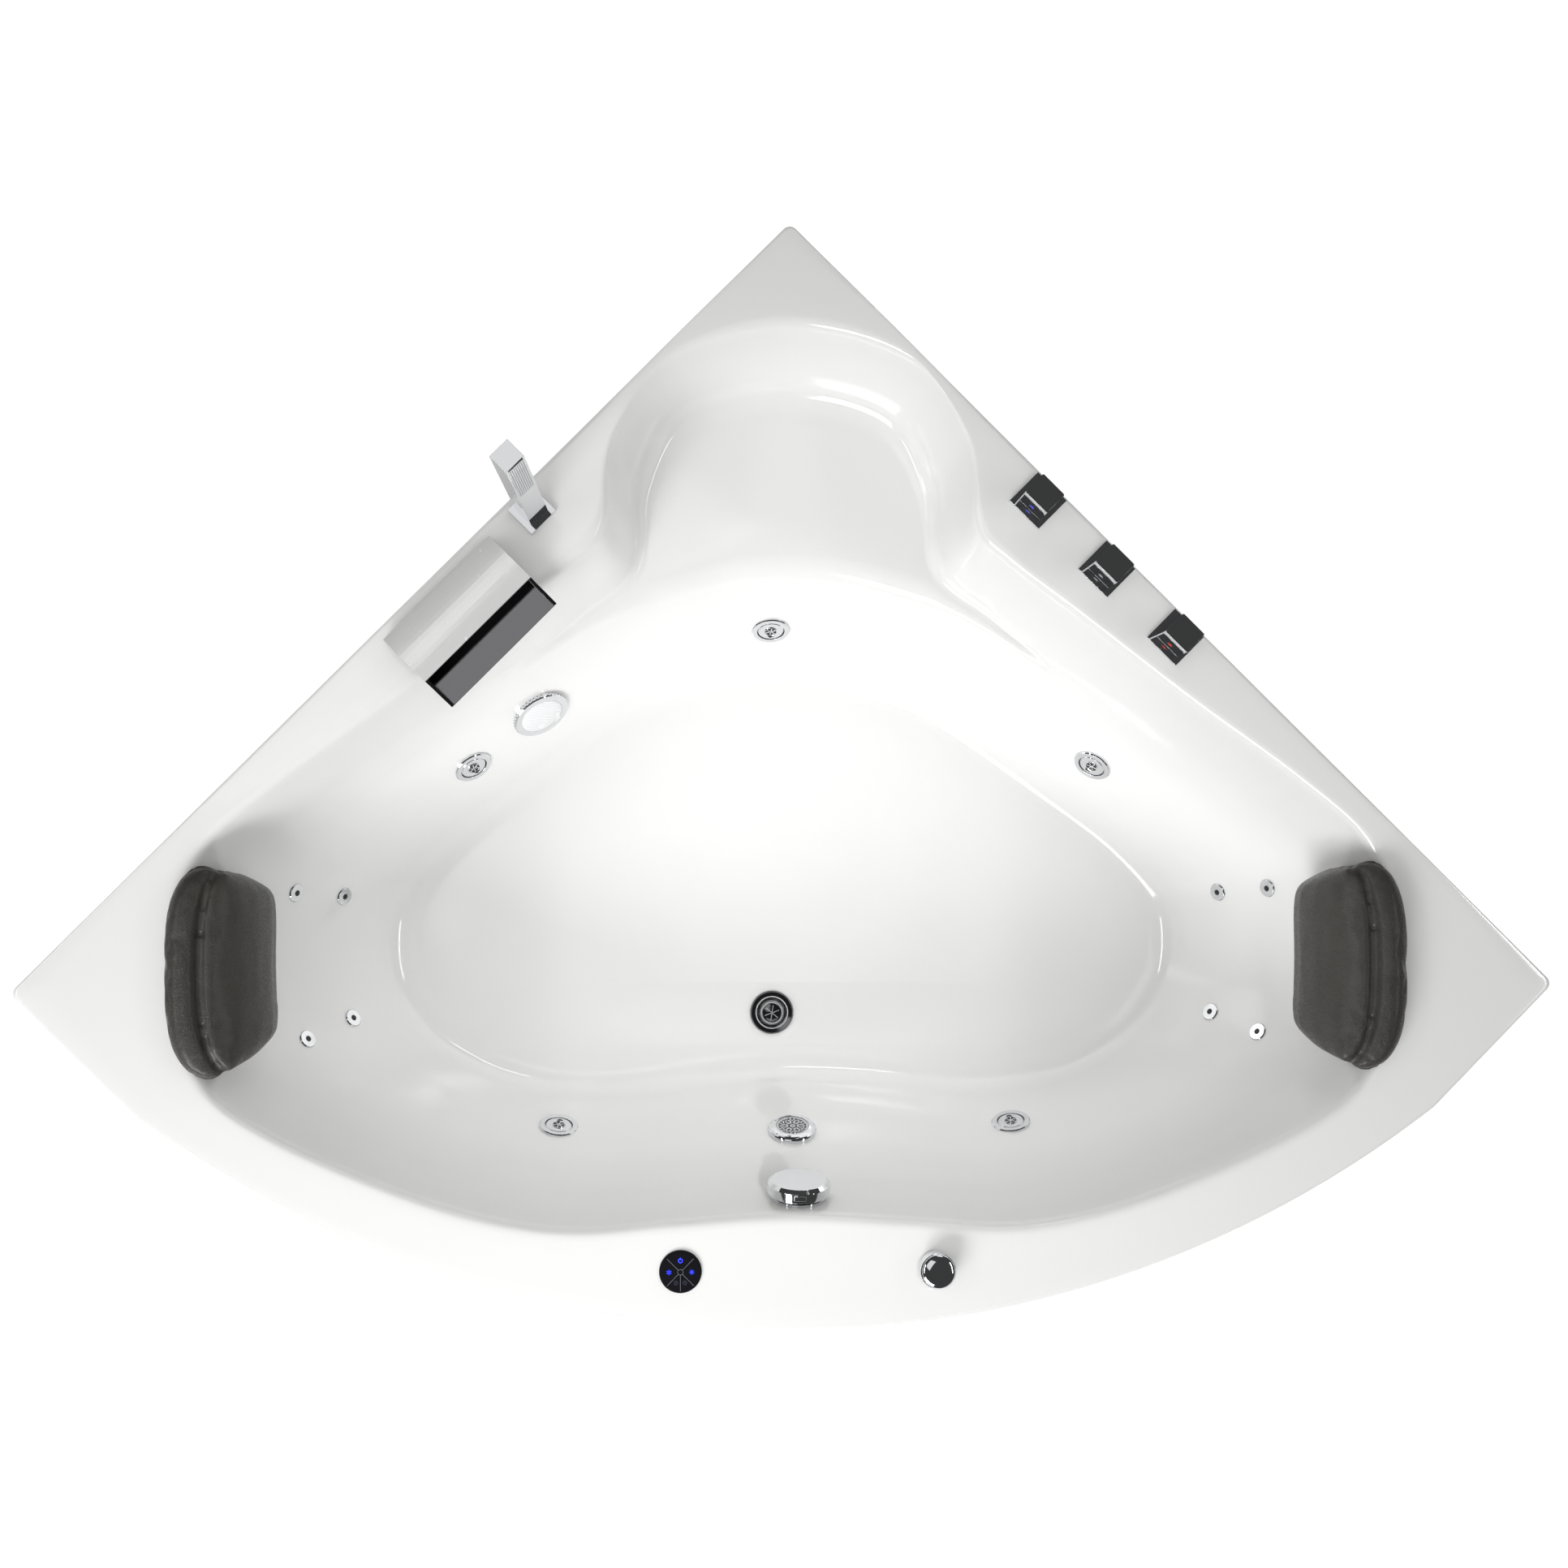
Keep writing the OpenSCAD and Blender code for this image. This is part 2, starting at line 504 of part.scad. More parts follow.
// Underwater light
light_flange_h = 2.4;
light_collar_h = 8;
light_lens_d = 68;
light_sleeve_r = 30;
light_sleeve_t = 2.5;
light_sleeve_len = 22;
light_dome_h = 3;
light_house_r = 37;
light_house_depth = 26;
light_house_end = 48;
module light_ring() color("gainsboro") at_seat(light_seat) lathe([
    [light_sleeve_r - light_sleeve_t, -light_sleeve_len], [light_sleeve_r, -light_sleeve_len],
    [light_sleeve_r, gap], [light_d / 2, gap], [light_d / 2, light_collar_h - jet_edge],
    [light_d / 2 - jet_edge, light_collar_h], [light_lens_d / 2 + gap, light_collar_h],
    [light_lens_d / 2 + gap, light_flange_h], [light_sleeve_r - light_sleeve_t, light_flange_h]]);
module light_lens() color("ghostwhite") at_seat(light_seat) translate([0, 0, light_flange_h]) lathe(concat(
    [[0, 0], [light_lens_d / 2, 0]], [for (a = [0 : 15 : 75])
        [light_lens_d / 2 * cos(a), light_collar_h - light_flange_h + light_dome_h * sin(a)]],
    [[0, light_collar_h - light_flange_h + light_dome_h]]));
module light_housing() color("gray") at_seat(light_seat) lathe([[0, -light_house_end],
    [light_house_r, -light_house_end], [light_house_r, back_z], [light_sleeve_r + gap, back_z],
    [light_sleeve_r + gap, -light_house_depth], [0, -light_house_depth]]);

// Suction cover, its grille and the pipe to the pump
suction_sleeve_r = 24;
suction_sleeve_len = 25;
suction_flange_h = 3;
suction_dome_h = 10;
suction_grille_r = 25;
suction_grille_h = 6;
suction_web_r = 20;
suction_hole_r = 2.2;
suction_cup_r = 31;
suction_nut_r = 36;
suction_cup_depth = 27;
suction_cup_end = 58;
suction_turn_share = [0.115, -0.215];
suction_low = 116;
module suction_ring() color("silver") at_seat(suction_seat) lathe(concat(
    [[suction_web_r, -suction_sleeve_len], [suction_sleeve_r, -suction_sleeve_len],
        [suction_sleeve_r, gap], [suction_d / 2, gap]],
    [for (a = [0 : 15 : 90]) [suction_grille_r + gap + (suction_d / 2 - suction_grille_r - gap) * cos(a),
        suction_flange_h + (suction_dome_h - suction_flange_h) * sin(a)]],
    [[suction_grille_r + gap, suction_flange_h], [suction_web_r, suction_flange_h]]));
module suction_grille() color("silver") at_seat(suction_seat) translate([0, 0, suction_flange_h])
    difference() {
    cylinder(h = suction_grille_h, r = suction_grille_r);
    for (k = [1 : 3], a = [0 : 60 / k : 359]) rotate(a) translate([k * suction_grille_r / 4, 0, -overrun])
        cylinder(h = suction_grille_h + 2 * overrun, r = suction_hole_r);
}
suction_x = suction_turn_share[0] * wall_side;
suction_y = suction_turn_share[1] * wall_side;
module suction_pipe() color("white") {
    at_seat(suction_seat) lathe([[0, -suction_cup_end], [suction_cup_r, -suction_cup_end],
        [suction_cup_r, bow_back_z - jet_nut_h], [suction_nut_r, bow_back_z - jet_nut_h],
        [suction_nut_r, bow_back_z], [suction_sleeve_r + gap, bow_back_z],
        [suction_sleeve_r + gap, -suction_cup_depth], [0, -suction_cup_depth]]);
    in_tub() pipe_run([behind(suction_seat, suction_cup_depth + suction_pipe_d / 2 + gap),
        [suction_x, suction_y, seat_pt(suction_seat)[2]], [suction_x, suction_y, suction_low - tub_height],
        [suction_x, pump_y, suction_low - tub_height], [suction_x, pump_y, pump_z - tub_height],
        [pump_x + volute_w + pump_inlet_len + gap, pump_y, pump_z - tub_height]], suction_pipe_d / 2,
        socket_t);
}

// Pump under the seat: its axis runs from the motor to the volute along x
pump_share = [-0.1, 0.49];
pump_x = pump_share[0] * wall_side + motor_len;
pump_y = pump_share[1] * wall_side;
volute_r = 78;
volute_w = 52;
volute_t = 7;
pump_inlet_r = 27;
pump_inlet_len = 22;
discharge_len = 14;
impeller_r = 58;
impeller_w = 26;
impeller_hub_r = 15;
impeller_plate_t = 4;
vane_t = 4;
vane_count = 6;
shaft_r = 8;
shaft_in = 40;
pump_foot = [150, 120, 6];
cradle_w = 18;
cradle_shares = [0.2, 0.8];
cradle_d = 100;
cradle_sink = 0.5;
pump_z = frame_top + gap + pump_foot[2] + volute_r + gap;
pump_drop = pump_z - frame_top - gap;
feed_clear = 27;
feed_z = -(seat_depth + shell_t + water_pipe_d + feed_clear);
feed_x = pump_x + volute_w / 2;
feed_over = [feed_x, jet_back(0)[1] + 2 * water_pipe_d, feed_z];
feed_top = [feed_x, pump_y, feed_z];
feed_low = [feed_x, pump_y, pump_z - tub_height + volute_r + discharge_len + gap];
module in_pump() in_tub() translate([pump_x, pump_y, pump_z - tub_height]) rotate([0, 90, 0]) children();
module pump_motor() color("darkslategray") in_pump() {
    difference() {
        translate([0, 0, -motor_len]) cylinder(h = motor_len, d = motor_d);
        translate([0, 0, -shaft_in - gap]) cylinder(h = shaft_in + gap + overrun, r = shaft_r + gap);
    }
    difference() {
        for (share = cradle_shares) translate([0, -cradle_d / 2, -motor_len * share - cradle_w / 2])
            cube([pump_drop - pump_foot[2] / 2, cradle_d, cradle_w]);
        translate([0, 0, -motor_len]) cylinder(h = motor_len, r = motor_d / 2 - cradle_sink);
    }
    translate([pump_drop - pump_foot[2], -pump_foot[1] / 2, -(motor_len + pump_foot[0]) / 2])
        cube([pump_foot[2], pump_foot[1], pump_foot[0]]);
}
module pump_volute() color("black") in_pump() difference() {
    union() {
        translate([0, 0, gap]) cylinder(h = volute_w - gap, r = volute_r);
        translate([0, 0, volute_w - overrun]) cylinder(h = pump_inlet_len + overrun, r = pump_inlet_r);
        translate([0, 0, volute_w / 2]) rotate([0, -90, 0])
            cylinder(h = volute_r + discharge_len, r = water_pipe_d / 2 + socket_t);
    }
    translate([0, 0, volute_t]) cylinder(h = volute_w - 2 * volute_t, r = volute_r - volute_t);
    translate([0, 0, volute_t]) cylinder(h = volute_w + pump_inlet_len, r = pump_inlet_r - volute_t);
    translate([0, 0, -overrun]) cylinder(h = volute_t + 2 * overrun, r = shaft_r + gap);
    translate([0, 0, volute_w / 2]) rotate([0, -90, 0])
        cylinder(h = volute_r + discharge_len + overrun, r = water_pipe_d / 2 - socket_t);
}
module pump_impeller() color("orange") in_pump() {
    translate([0, 0, -shaft_in]) cylinder(h = shaft_in + volute_t + impeller_w, r = shaft_r);
    translate([0, 0, volute_t + impeller_plate_t]) {
        cylinder(h = impeller_plate_t, r = impeller_r);
        cylinder(h = impeller_w, r = impeller_hub_r);
        for (k = [0 : vane_count - 1]) rotate(k * 360 / vane_count) translate([0, -vane_t / 2,
            impeller_plate_t / 2])
            cube([impeller_r - vane_t, vane_t, impeller_w - impeller_plate_t]);
    }
}

// Control box on its shelf
box_size = [150, 85, 92];
box_wall = 3;
gland_r = 9;
gland_len = 16;
gland_bore_r = 4;
module control_box() color("lightgray")
    translate([shelf_share[0] * wall_side, shelf_share[1] * wall_side - mid_y, frame_top + gap])
        difference() {
        union() {
            translate([-box_size[0] / 2, -box_size[1] / 2, 0]) cube(box_size);
            translate([-box_size[0] / 2 - gland_len, 0, box_size[2] / 2]) rotate([0, 90, 0])
                cylinder(h = gland_len + box_wall, r = gland_r);
        }
        translate([-box_size[0] / 2 + box_wall, -box_size[1] / 2 + box_wall, box_wall])
            cube([box_size[0] - 2 * box_wall, box_size[1] - 2 * box_wall, box_size[2] - 2 * box_wall]);
        translate([-box_size[0] / 2 - gland_len - overrun, 0, box_size[2] / 2]) rotate([0, 90, 0])
            cylinder(h = gland_len + 2 * box_wall + overrun, r = gland_bore_r);
    }

// Drain and trap, drawn from the drain's place on the basin floor
drain_sleeve_r = 25;
drain_sleeve_t = 2;
drain_sleeve_len = 30;
drain_flange_h = 3;
drain_edge = 2;
plug_dome_h = 7;
plug_skirt = 1.5;
plug_stem_r = 4;
plug_stem_len = 38;
trap_web_z = -36;
trap_web_t = 3;
trap_cup_r = 32;
trap_nut_r = 38;
trap_nut_h = 7;
trap_low = 112;
trap_end_share = 0.12;
trap_wall = 3;
web_hole_r = 3.5;
overflow_pipe_d = 32;
trap_inner_r = waste_pipe_d / 2 - trap_wall;
module drain_flange() color("silver") at_drain() translate([0, 0, -dish_depth]) lathe([
    [drain_sleeve_r - drain_sleeve_t, -drain_sleeve_len],
    [drain_sleeve_r, -drain_sleeve_len], [drain_sleeve_r, 0],
    [drain_d / 2, 0], [drain_d / 2 - drain_edge, drain_flange_h],
    [drain_sleeve_r - drain_sleeve_t, drain_flange_h / 2]]);
module drain_plug() color("silver") at_drain() translate([0, 0, -dish_depth]) lathe(concat(
    [[0, -plug_stem_len], [plug_stem_r, -plug_stem_len], [plug_stem_r, -plug_skirt],
    [plug_d / 2, -plug_skirt]],
    [for (a = [0 : 15 : 75]) [plug_d / 2 * cos(a), drain_flange_h / 2 + plug_dome_h * sin(a)]],
    [[0, drain_flange_h / 2 + plug_dome_h]]));
trap_drop = floor_h - trap_low;
module waste_trap() color("white") at_drain() difference() {
    union() {
        translate([0, 0, -trap_drop]) cylinder(h = trap_drop - shell_t - gap, r = trap_cup_r);
        translate([0, 0, -shell_t - gap - trap_nut_h]) cylinder(h = trap_nut_h, r = trap_nut_r);
        translate([0, 0, -trap_drop]) sphere(r = trap_cup_r + socket_t);
        tube_between([0, 0, -trap_drop], [0, trap_end_share * wall_side, -trap_drop], waste_pipe_d / 2);
    }
    translate([0, 0, trap_web_z]) cylinder(h = -trap_web_z, r = drain_sleeve_r + gap);
    translate([0, 0, -trap_drop]) cylinder(h = trap_drop + trap_web_z - trap_web_t, r = trap_inner_r);
    translate([0, 0, trap_web_z - 2 * trap_web_t]) cylinder(h = 4 * trap_web_t, r = plug_stem_r + gap);
    for (a = [0 : 60 : 300]) rotate(a) translate([trap_inner_r - 2 * web_hole_r, 0,
        trap_web_z - 2 * trap_web_t])
        cylinder(h = 4 * trap_web_t, r = web_hole_r);
    tube_between([0, 0, -trap_drop], [0, trap_end_share * wall_side + overrun, -trap_drop], trap_inner_r);
}

// Overflow, drawn along the z axis of its seat
overflow_sleeve_r = 26;
overflow_sleeve_t = 3;
overflow_sleeve_len = 20;
overflow_flange_r = 38;
overflow_flange_h = 3;
overflow_slot_r = 4;
overflow_spindle_r = 5;
overflow_spindle_len = 17;
overflow_web_t = 3;
overflow_cap_z = 8;
overflow_cap_h = 18;
overflow_cap_t = 3;
overflow_cap_edge = 5;
overflow_hub_r = 9;
overflow_lug = [5, 16, 6];
overflow_hole_r = 4;
overflow_cup_r = 33;
overflow_cup_depth = 22;
overflow_cup_end = 42;
overflow_turn_share = [-0.06, -0.219];
overflow_drop = 95;
overflow_x = overflow_turn_share[0] * wall_side;
overflow_y = overflow_turn_share[1] * wall_side;
trap_at = [drain_share[0] * wall_side, drain_share[1] * wall_side, trap_low - tub_height];
module overflow_collar() color("silver") at_seat(overflow_seat) difference() {
    lathe([[overflow_sleeve_r - overflow_sleeve_t, -overflow_sleeve_len],
        [overflow_sleeve_r, -overflow_sleeve_len],
        [overflow_sleeve_r, gap], [overflow_flange_r, gap], [overflow_flange_r, gap + overflow_flange_h],
        [overflow_spindle_r + gap, gap + overflow_flange_h], [overflow_spindle_r + gap, -overflow_web_t],
        [overflow_sleeve_r - overflow_sleeve_t, -overflow_web_t]]);
    for (a = [30 : 60 : 330]) rotate(a)
        translate([(overflow_sleeve_r + overflow_spindle_r) / 2, 0, -overflow_web_t - overrun])
        cylinder(h = overflow_flange_h + overflow_web_t + 3 * overrun, r = overflow_slot_r);
}
overflow_cap_r = overflow_cap_d / 2;
overflow_cap_top = overflow_cap_z + overflow_cap_h;
module overflow_cap() color("silver") at_seat(overflow_seat) difference() {
    union() {
        lathe([[0, -overflow_spindle_len], [overflow_spindle_r, -overflow_spindle_len],
            [overflow_spindle_r, overflow_cap_z], [overflow_hub_r, overflow_cap_z],
            [overflow_hub_r, overflow_cap_top - overflow_cap_t],
            [overflow_cap_r - overflow_cap_edge, overflow_cap_top - overflow_cap_t],
            [overflow_cap_r - overflow_cap_t, overflow_cap_top - overflow_cap_edge],
            [overflow_cap_r - overflow_cap_t, overflow_cap_z], [overflow_cap_r, overflow_cap_z],
            [overflow_cap_r, overflow_cap_top - overflow_cap_edge],
            [overflow_cap_r - overflow_cap_edge, overflow_cap_top], [0, overflow_cap_top]]);
        translate([-overflow_cap_r - overflow_lug[0] / 2, -overflow_lug[1] / 2,
            overflow_cap_z + overflow_cap_edge])
            cube(overflow_lug);
    }
    translate([overflow_cap_r - 2 * overflow_cap_t, 0, overflow_cap_z + overflow_cap_h / 2]) rotate([0, 90,
        0])
        cylinder(h = 4 * overflow_cap_t, r = overflow_hole_r);
}
module overflow_pipe() color("white") {
    at_seat(overflow_seat) lathe([[0, -overflow_cup_end], [overflow_cup_r, -overflow_cup_end],
        [overflow_cup_r, bow_back_z], [overflow_sleeve_r + gap, bow_back_z],
        [overflow_sleeve_r + gap, -overflow_cup_depth], [0, -overflow_cup_depth]]);
    in_tub() difference() {
        pipe_run([behind(overflow_seat, overflow_cup_depth + overflow_pipe_d / 2 + gap),
            [overflow_x, overflow_y, -overflow_drop],
            [overflow_x, overflow_y, trap_low - tub_height], trap_at],
            overflow_pipe_d / 2, socket_t);
        translate(trap_at) sphere(r = trap_cup_r + socket_t + gap);
    }
}

// Taps on the right rim: the y axis points into the tub, the x axis to the wall corner
tap_first = 517;
tap_in = 33;
tap_plate_h = 6;
tap_block_gap = 1;
tap_bevel = 1.5;
tap_spindle_r = 8;
tap_spindle_len = 26;
tap_shank_r = 14;
tap_nut_r = 24;
tap_nut_h = 7;
tap_body_top = 42;
tap_body_end = 78;
tap_body_r = 19;
tap_tail_r = 10;
tap_tail_len = 24;
tap_tail_bore_r = 6;
module at_tap(k) on_right_rim(tap_first + k * tap_pitch, tap_in) children();
module tap_plate_at(k) color("dimgray") at_tap(k) difference() {
    translate([-tap_plate / 2, -tap_plate / 2, 0]) cube([tap_plate, tap_plate, tap_plate_h]);
    translate([0, 0, -overrun]) cylinder(h = tap_plate_h + 2 * overrun, r = tap_spindle_r + gap);
}
module bevelled(w, d, bevel) polygon([[-w / 2 + bevel, -d / 2], [w / 2 - bevel, -d / 2],
    [w / 2, -d / 2 + bevel],
    [w / 2, d / 2 - bevel], [w / 2 - bevel, d / 2], [-w / 2 + bevel, d / 2], [-w / 2, d / 2 - bevel],
    [-w / 2, -d / 2 + bevel]]);
module tap_knob_at(k) color("dimgray") at_tap(k) {
    translate([0, 0, tap_plate_h + tap_block_gap]) linear_extrude(tap_height - tap_plate_h - tap_block_gap)
        bevelled(tap_block_w, tap_block_d, tap_bevel);
    translate([0, 0, -tap_spindle_len])
        cylinder(h = tap_spindle_len + tap_plate_h + 2 * tap_block_gap, r = tap_spindle_r);
}
module tap_valve_at(k, tail_bore) color("goldenrod") at_tap(k) difference() {
    union() {
        translate([0, 0, -tap_body_top - overrun]) cylinder(h = tap_body_top + overrun, r = tap_shank_r);
        translate([0, 0, -shell_t - gap - tap_nut_h]) cylinder(h = tap_nut_h, r = tap_nut_r);
        translate([0, 0, -tap_body_end]) cylinder(h = tap_body_end - tap_body_top, r = tap_body_r);
        translate([0, 0, -tap_body_end - tap_tail_len]) cylinder(h = tap_tail_len + overrun, r = tap_tail_r);
    }
    translate([0, 0, -tap_spindle_len - gap])
        cylinder(h = tap_spindle_len + gap + overrun, r = tap_spindle_r + gap);
    if (tail_bore) translate([0, 0, -tap_body_end - tap_tail_len - overrun])
        cylinder(h = tap_tail_len + overrun, r = tap_tail_bore_r);
}
module cold_plate() tap_plate_at(0);
module diverter_plate() tap_plate_at(1);
module hot_plate() tap_plate_at(2);
module cold_knob() tap_knob_at(0);
module diverter_knob() tap_knob_at(1);
module hot_knob() tap_knob_at(2);
module cold_valve() tap_valve_at(0, true);
module diverter_valve() tap_valve_at(1, false);
module hot_valve() tap_valve_at(2, true);

// Waterfall spout on the left rim: the y axis points into the tub
spout_first = 604;
spout_in = 23;
spout_cheek = 5;
spout_back_h = 26;
spout_mid_h = 38;
spout_steps = 12;
spout_plate_end = 81;
spout_end_h = 33;
spout_lip_h = 15;
spout_lip_t = 4;
spout_foot = 62;
spout_under = 5;
spout_floor_t = 5;
spout_plate_t = 4;
spout_shank_d = 34;
spout_shank_r = 12;
spout_shank_len = 48;
spout_bore_r = 8;
module at_spout() on_left_rim(spout_first + spout_w / 2, spout_in) children();
module slab(points, w) translate([-w / 2, 0, 0]) rotate([90, 0, 90]) linear_extrude(w) polygon(points);
spout_bow = spout_mid_h - (spout_back_h + spout_end_h) / 2;
spout_arch = [for (i = [0 : spout_steps]) let (t = i / spout_steps)
    [t * spout_plate_end, mix(spout_back_h, spout_end_h, t) + 4 * t * (1 - t) * spout_bow]];
spout_under_arch = [for (i = [spout_steps : -1 : 0]) spout_arch[i]];
module spout_body() color("dimgray") at_spout() difference() {
    slab(concat([[0, 0], [spout_foot, 0], [spout_foot + spout_under, spout_under],
        [spout_reach, spout_lip_h], [spout_reach, spout_lip_h + spout_lip_t]],
        spout_under_arch), spout_w);
    slab([[spout_cheek, spout_floor_t], [spout_foot, spout_floor_t + spout_under],
        [spout_reach + overrun, spout_lip_h + spout_floor_t / 2], [spout_reach + overrun, 2 * spout_mid_h],
        [spout_cheek, 2 * spout_mid_h]], spout_w - 2 * spout_cheek);
    translate([0, spout_shank_d, -overrun]) cylinder(h = spout_mid_h, r = spout_bore_r);
}
module spout_plate() color("whitesmoke") at_spout() slab(concat([for (p = spout_arch) p + [0, gap]],
    [for (p = spout_under_arch) p + [0, gap + spout_plate_t]]), spout_w);
module spout_shank() color("goldenrod") at_spout() translate([0, spout_shank_d, 0]) lathe([
    [spout_bore_r, -spout_shank_len], [spout_shank_r, -spout_shank_len],
    [spout_shank_r, -shell_t - gap - tap_nut_h], [tap_nut_r, -shell_t - gap - tap_nut_h],
    [tap_nut_r, -shell_t - gap], [spout_shank_r, -shell_t - gap], [spout_shank_r, 0], [spout_bore_r, 0]]);

// Pipes under the rim: between the valves, and from the diverter under the seat to the spout
deck_pipe_r = 7;
deck_bar_z = 60;
deck_clear = 24;
deck_low = seat_depth + shell_t + deck_clear;
deck_turn_share = [0.2, 0.44];
deck_turn = [deck_turn_share[0] * wall_side, deck_turn_share[1] * wall_side, -deck_low];
diverter_s = tap_first + tap_pitch;
spout_s = spout_first + spout_w / 2;
spout_d = spout_in + spout_shank_d;
function rim_pt(s, d, z) = [(s - d) / sqrt(2), half_span - (s + d) / sqrt(2), z];
module deck_pipes() color("goldenrod") in_tub() {
    for (k = [0, 1]) tube_between(rim_pt(tap_first + k * tap_pitch + tap_body_r + gap, tap_in, -deck_bar_z),
        rim_pt(tap_first + (k + 1) * tap_pitch - tap_body_r - gap, tap_in, -deck_bar_z), deck_pipe_r);
    pipe_run([rim_pt(diverter_s, tap_in, -tap_body_end - tap_tail_len - gap),
        rim_pt(diverter_s, tap_in, -deck_low), deck_turn, flip(deck_turn),
        flip(rim_pt(spout_s, spout_d, -deck_low)),
        flip(rim_pt(spout_s, spout_d, -spout_shank_len - gap))], deck_pipe_r, socket_t / 2, true);
}

// Hand shower on the left rim: the y axis points into the tub
handset_first = 537;
handset_in = 34;
handset_plate = 47;
handset_plate_h = 5;
handset_taper = 2;
handset_lean = 14;
handset_tilt = 12;
handset_spigot_r = 11;
handset_spigot_len = 58;
handset_shank_r = 15;
handset_shank_len = 66;
handset_nozzle_share = 0.45;
handset_nozzle_t = 1.2;
handset_nozzle_edge = 3;
module at_handset() on_left_rim(handset_first, handset_in) children();
module handset_sleeve() color("silver") at_handset() difference() {
    union() {
        translate([-handset_plate / 2, -handset_plate / 2, 0]) cube([handset_plate, handset_plate,
            handset_plate_h]);
        translate([0, 0, -handset_shank_len]) cylinder(h = handset_shank_len + overrun, r = handset_shank_r);
        translate([0, 0, -shell_t - gap - tap_nut_h]) cylinder(h = tap_nut_h, r = tap_nut_r);
    }
    translate([0, 0, -handset_shank_len - overrun])
        cylinder(h = handset_shank_len + handset_plate_h + 2 * overrun, r = handset_spigot_r + gap);
}
handset_top = handset_plate_h + handset_len;
module handset() color("silver") at_handset() {
    intersection() {
        slab([[-handset_w / 2, handset_plate_h + gap], [handset_w / 2, handset_plate_h + gap],
            [handset_w / 2 - handset_lean, handset_top],
            [-handset_w / 2 - handset_lean + handset_taper, handset_top]], 3 * handset_w);
        translate([0, 1.5 * handset_w, 0]) rotate([90, 0, 0]) linear_extrude(3 * handset_w)
            polygon([[-handset_w / 2, handset_plate_h], [handset_w / 2, handset_plate_h],
                [handset_w / 2 - handset_tilt, handset_top], [-handset_w / 2 - handset_tilt, handset_top]]);
    }
    translate([0, 0, -handset_spigot_len])
        cylinder(h = handset_spigot_len + 2 * handset_plate_h, r = handset_spigot_r);
    // Nozzle plate on the upper part of the face
    translate([-handset_tilt, handset_w / 2 - handset_lean, handset_top])
        rotate([atan(handset_lean / (handset_len - gap)), 0, 0])
        rotate([0, -atan(handset_tilt / handset_len), 0])
        translate([handset_nozzle_edge - handset_w / 2, -handset_nozzle_t,
            -handset_nozzle_share * handset_len])
        cube([handset_w - 2 * handset_nozzle_edge, 2 * handset_nozzle_t,
            handset_nozzle_share * handset_len - handset_nozzle_edge]);
}

// Touch panel and air control on the front rim
touch_bezel_h = 2;
touch_glass_edge = 1.5;
touch_glass_h = 3;
touch_shank_r = 23;
touch_shank_len = 26;
touch_nut_r = 31;
air_shank_r = 13;
air_shank_len = 40;
air_flange_r = 19;
air_flange_h = 3;
air_knob_h = 22;
air_knob_edge = 2;
air_spindle_r = 5;
air_spindle_len = 14;
air_notch = [12, 8, 6];
module touch_housing() color("dimgray") at_touch() lathe([[0, -touch_shank_len],
    [touch_shank_r, -touch_shank_len],
    [touch_shank_r, -shell_t - gap - tap_nut_h], [touch_nut_r, -shell_t - gap - tap_nut_h],
    [touch_nut_r, -shell_t - gap], [touch_shank_r, -shell_t - gap], [touch_shank_r, 0], [touch_d / 2, 0],
    [touch_d / 2, touch_bezel_h], [0, touch_bezel_h]]);
module touch_glass() color("black") at_touch() translate([0, 0, touch_bezel_h]) lathe([[0, 0],
    [touch_d / 2 - touch_glass_edge / 2, 0], [touch_d / 2 - touch_glass_edge / 2,
    touch_glass_h - touch_glass_edge],
    [touch_d / 2 - 2 * touch_glass_edge, touch_glass_h], [0, touch_glass_h]]);
module air_valve() color("silver") at_air_knob() difference() {
    lathe([[0, -air_shank_len], [air_shank_r, -air_shank_len], [air_shank_r, -shell_t - gap - tap_nut_h],
        [air_flange_r, -shell_t - gap - tap_nut_h], [air_flange_r, -shell_t - gap],
        [air_shank_r, -shell_t - gap],
        [air_shank_r, 0], [air_flange_r, 0], [air_flange_r, air_flange_h], [0, air_flange_h]]);
    translate([0, 0, -air_spindle_len - gap])
        cylinder(h = air_spindle_len + air_flange_h + overrun, r = air_spindle_r + gap);
}
module air_knob() color("silver") at_air_knob() difference() {
    translate([0, 0, air_flange_h + gap]) lathe([[0, -air_spindle_len], [air_spindle_r, -air_spindle_len],
        [air_spindle_r, 0], [air_knob_d / 2, 0], [air_knob_d / 2, air_knob_h - air_knob_edge],
        [air_knob_d / 2 - air_knob_edge, air_knob_h], [0, air_knob_h]]);
    translate([-air_notch[0] / 2, air_knob_d / 2 - air_notch[1],
        air_flange_h + gap + air_knob_h - air_notch[2]])
        cube([air_notch[0], air_notch[1] + overrun, air_notch[2] + overrun]);
}

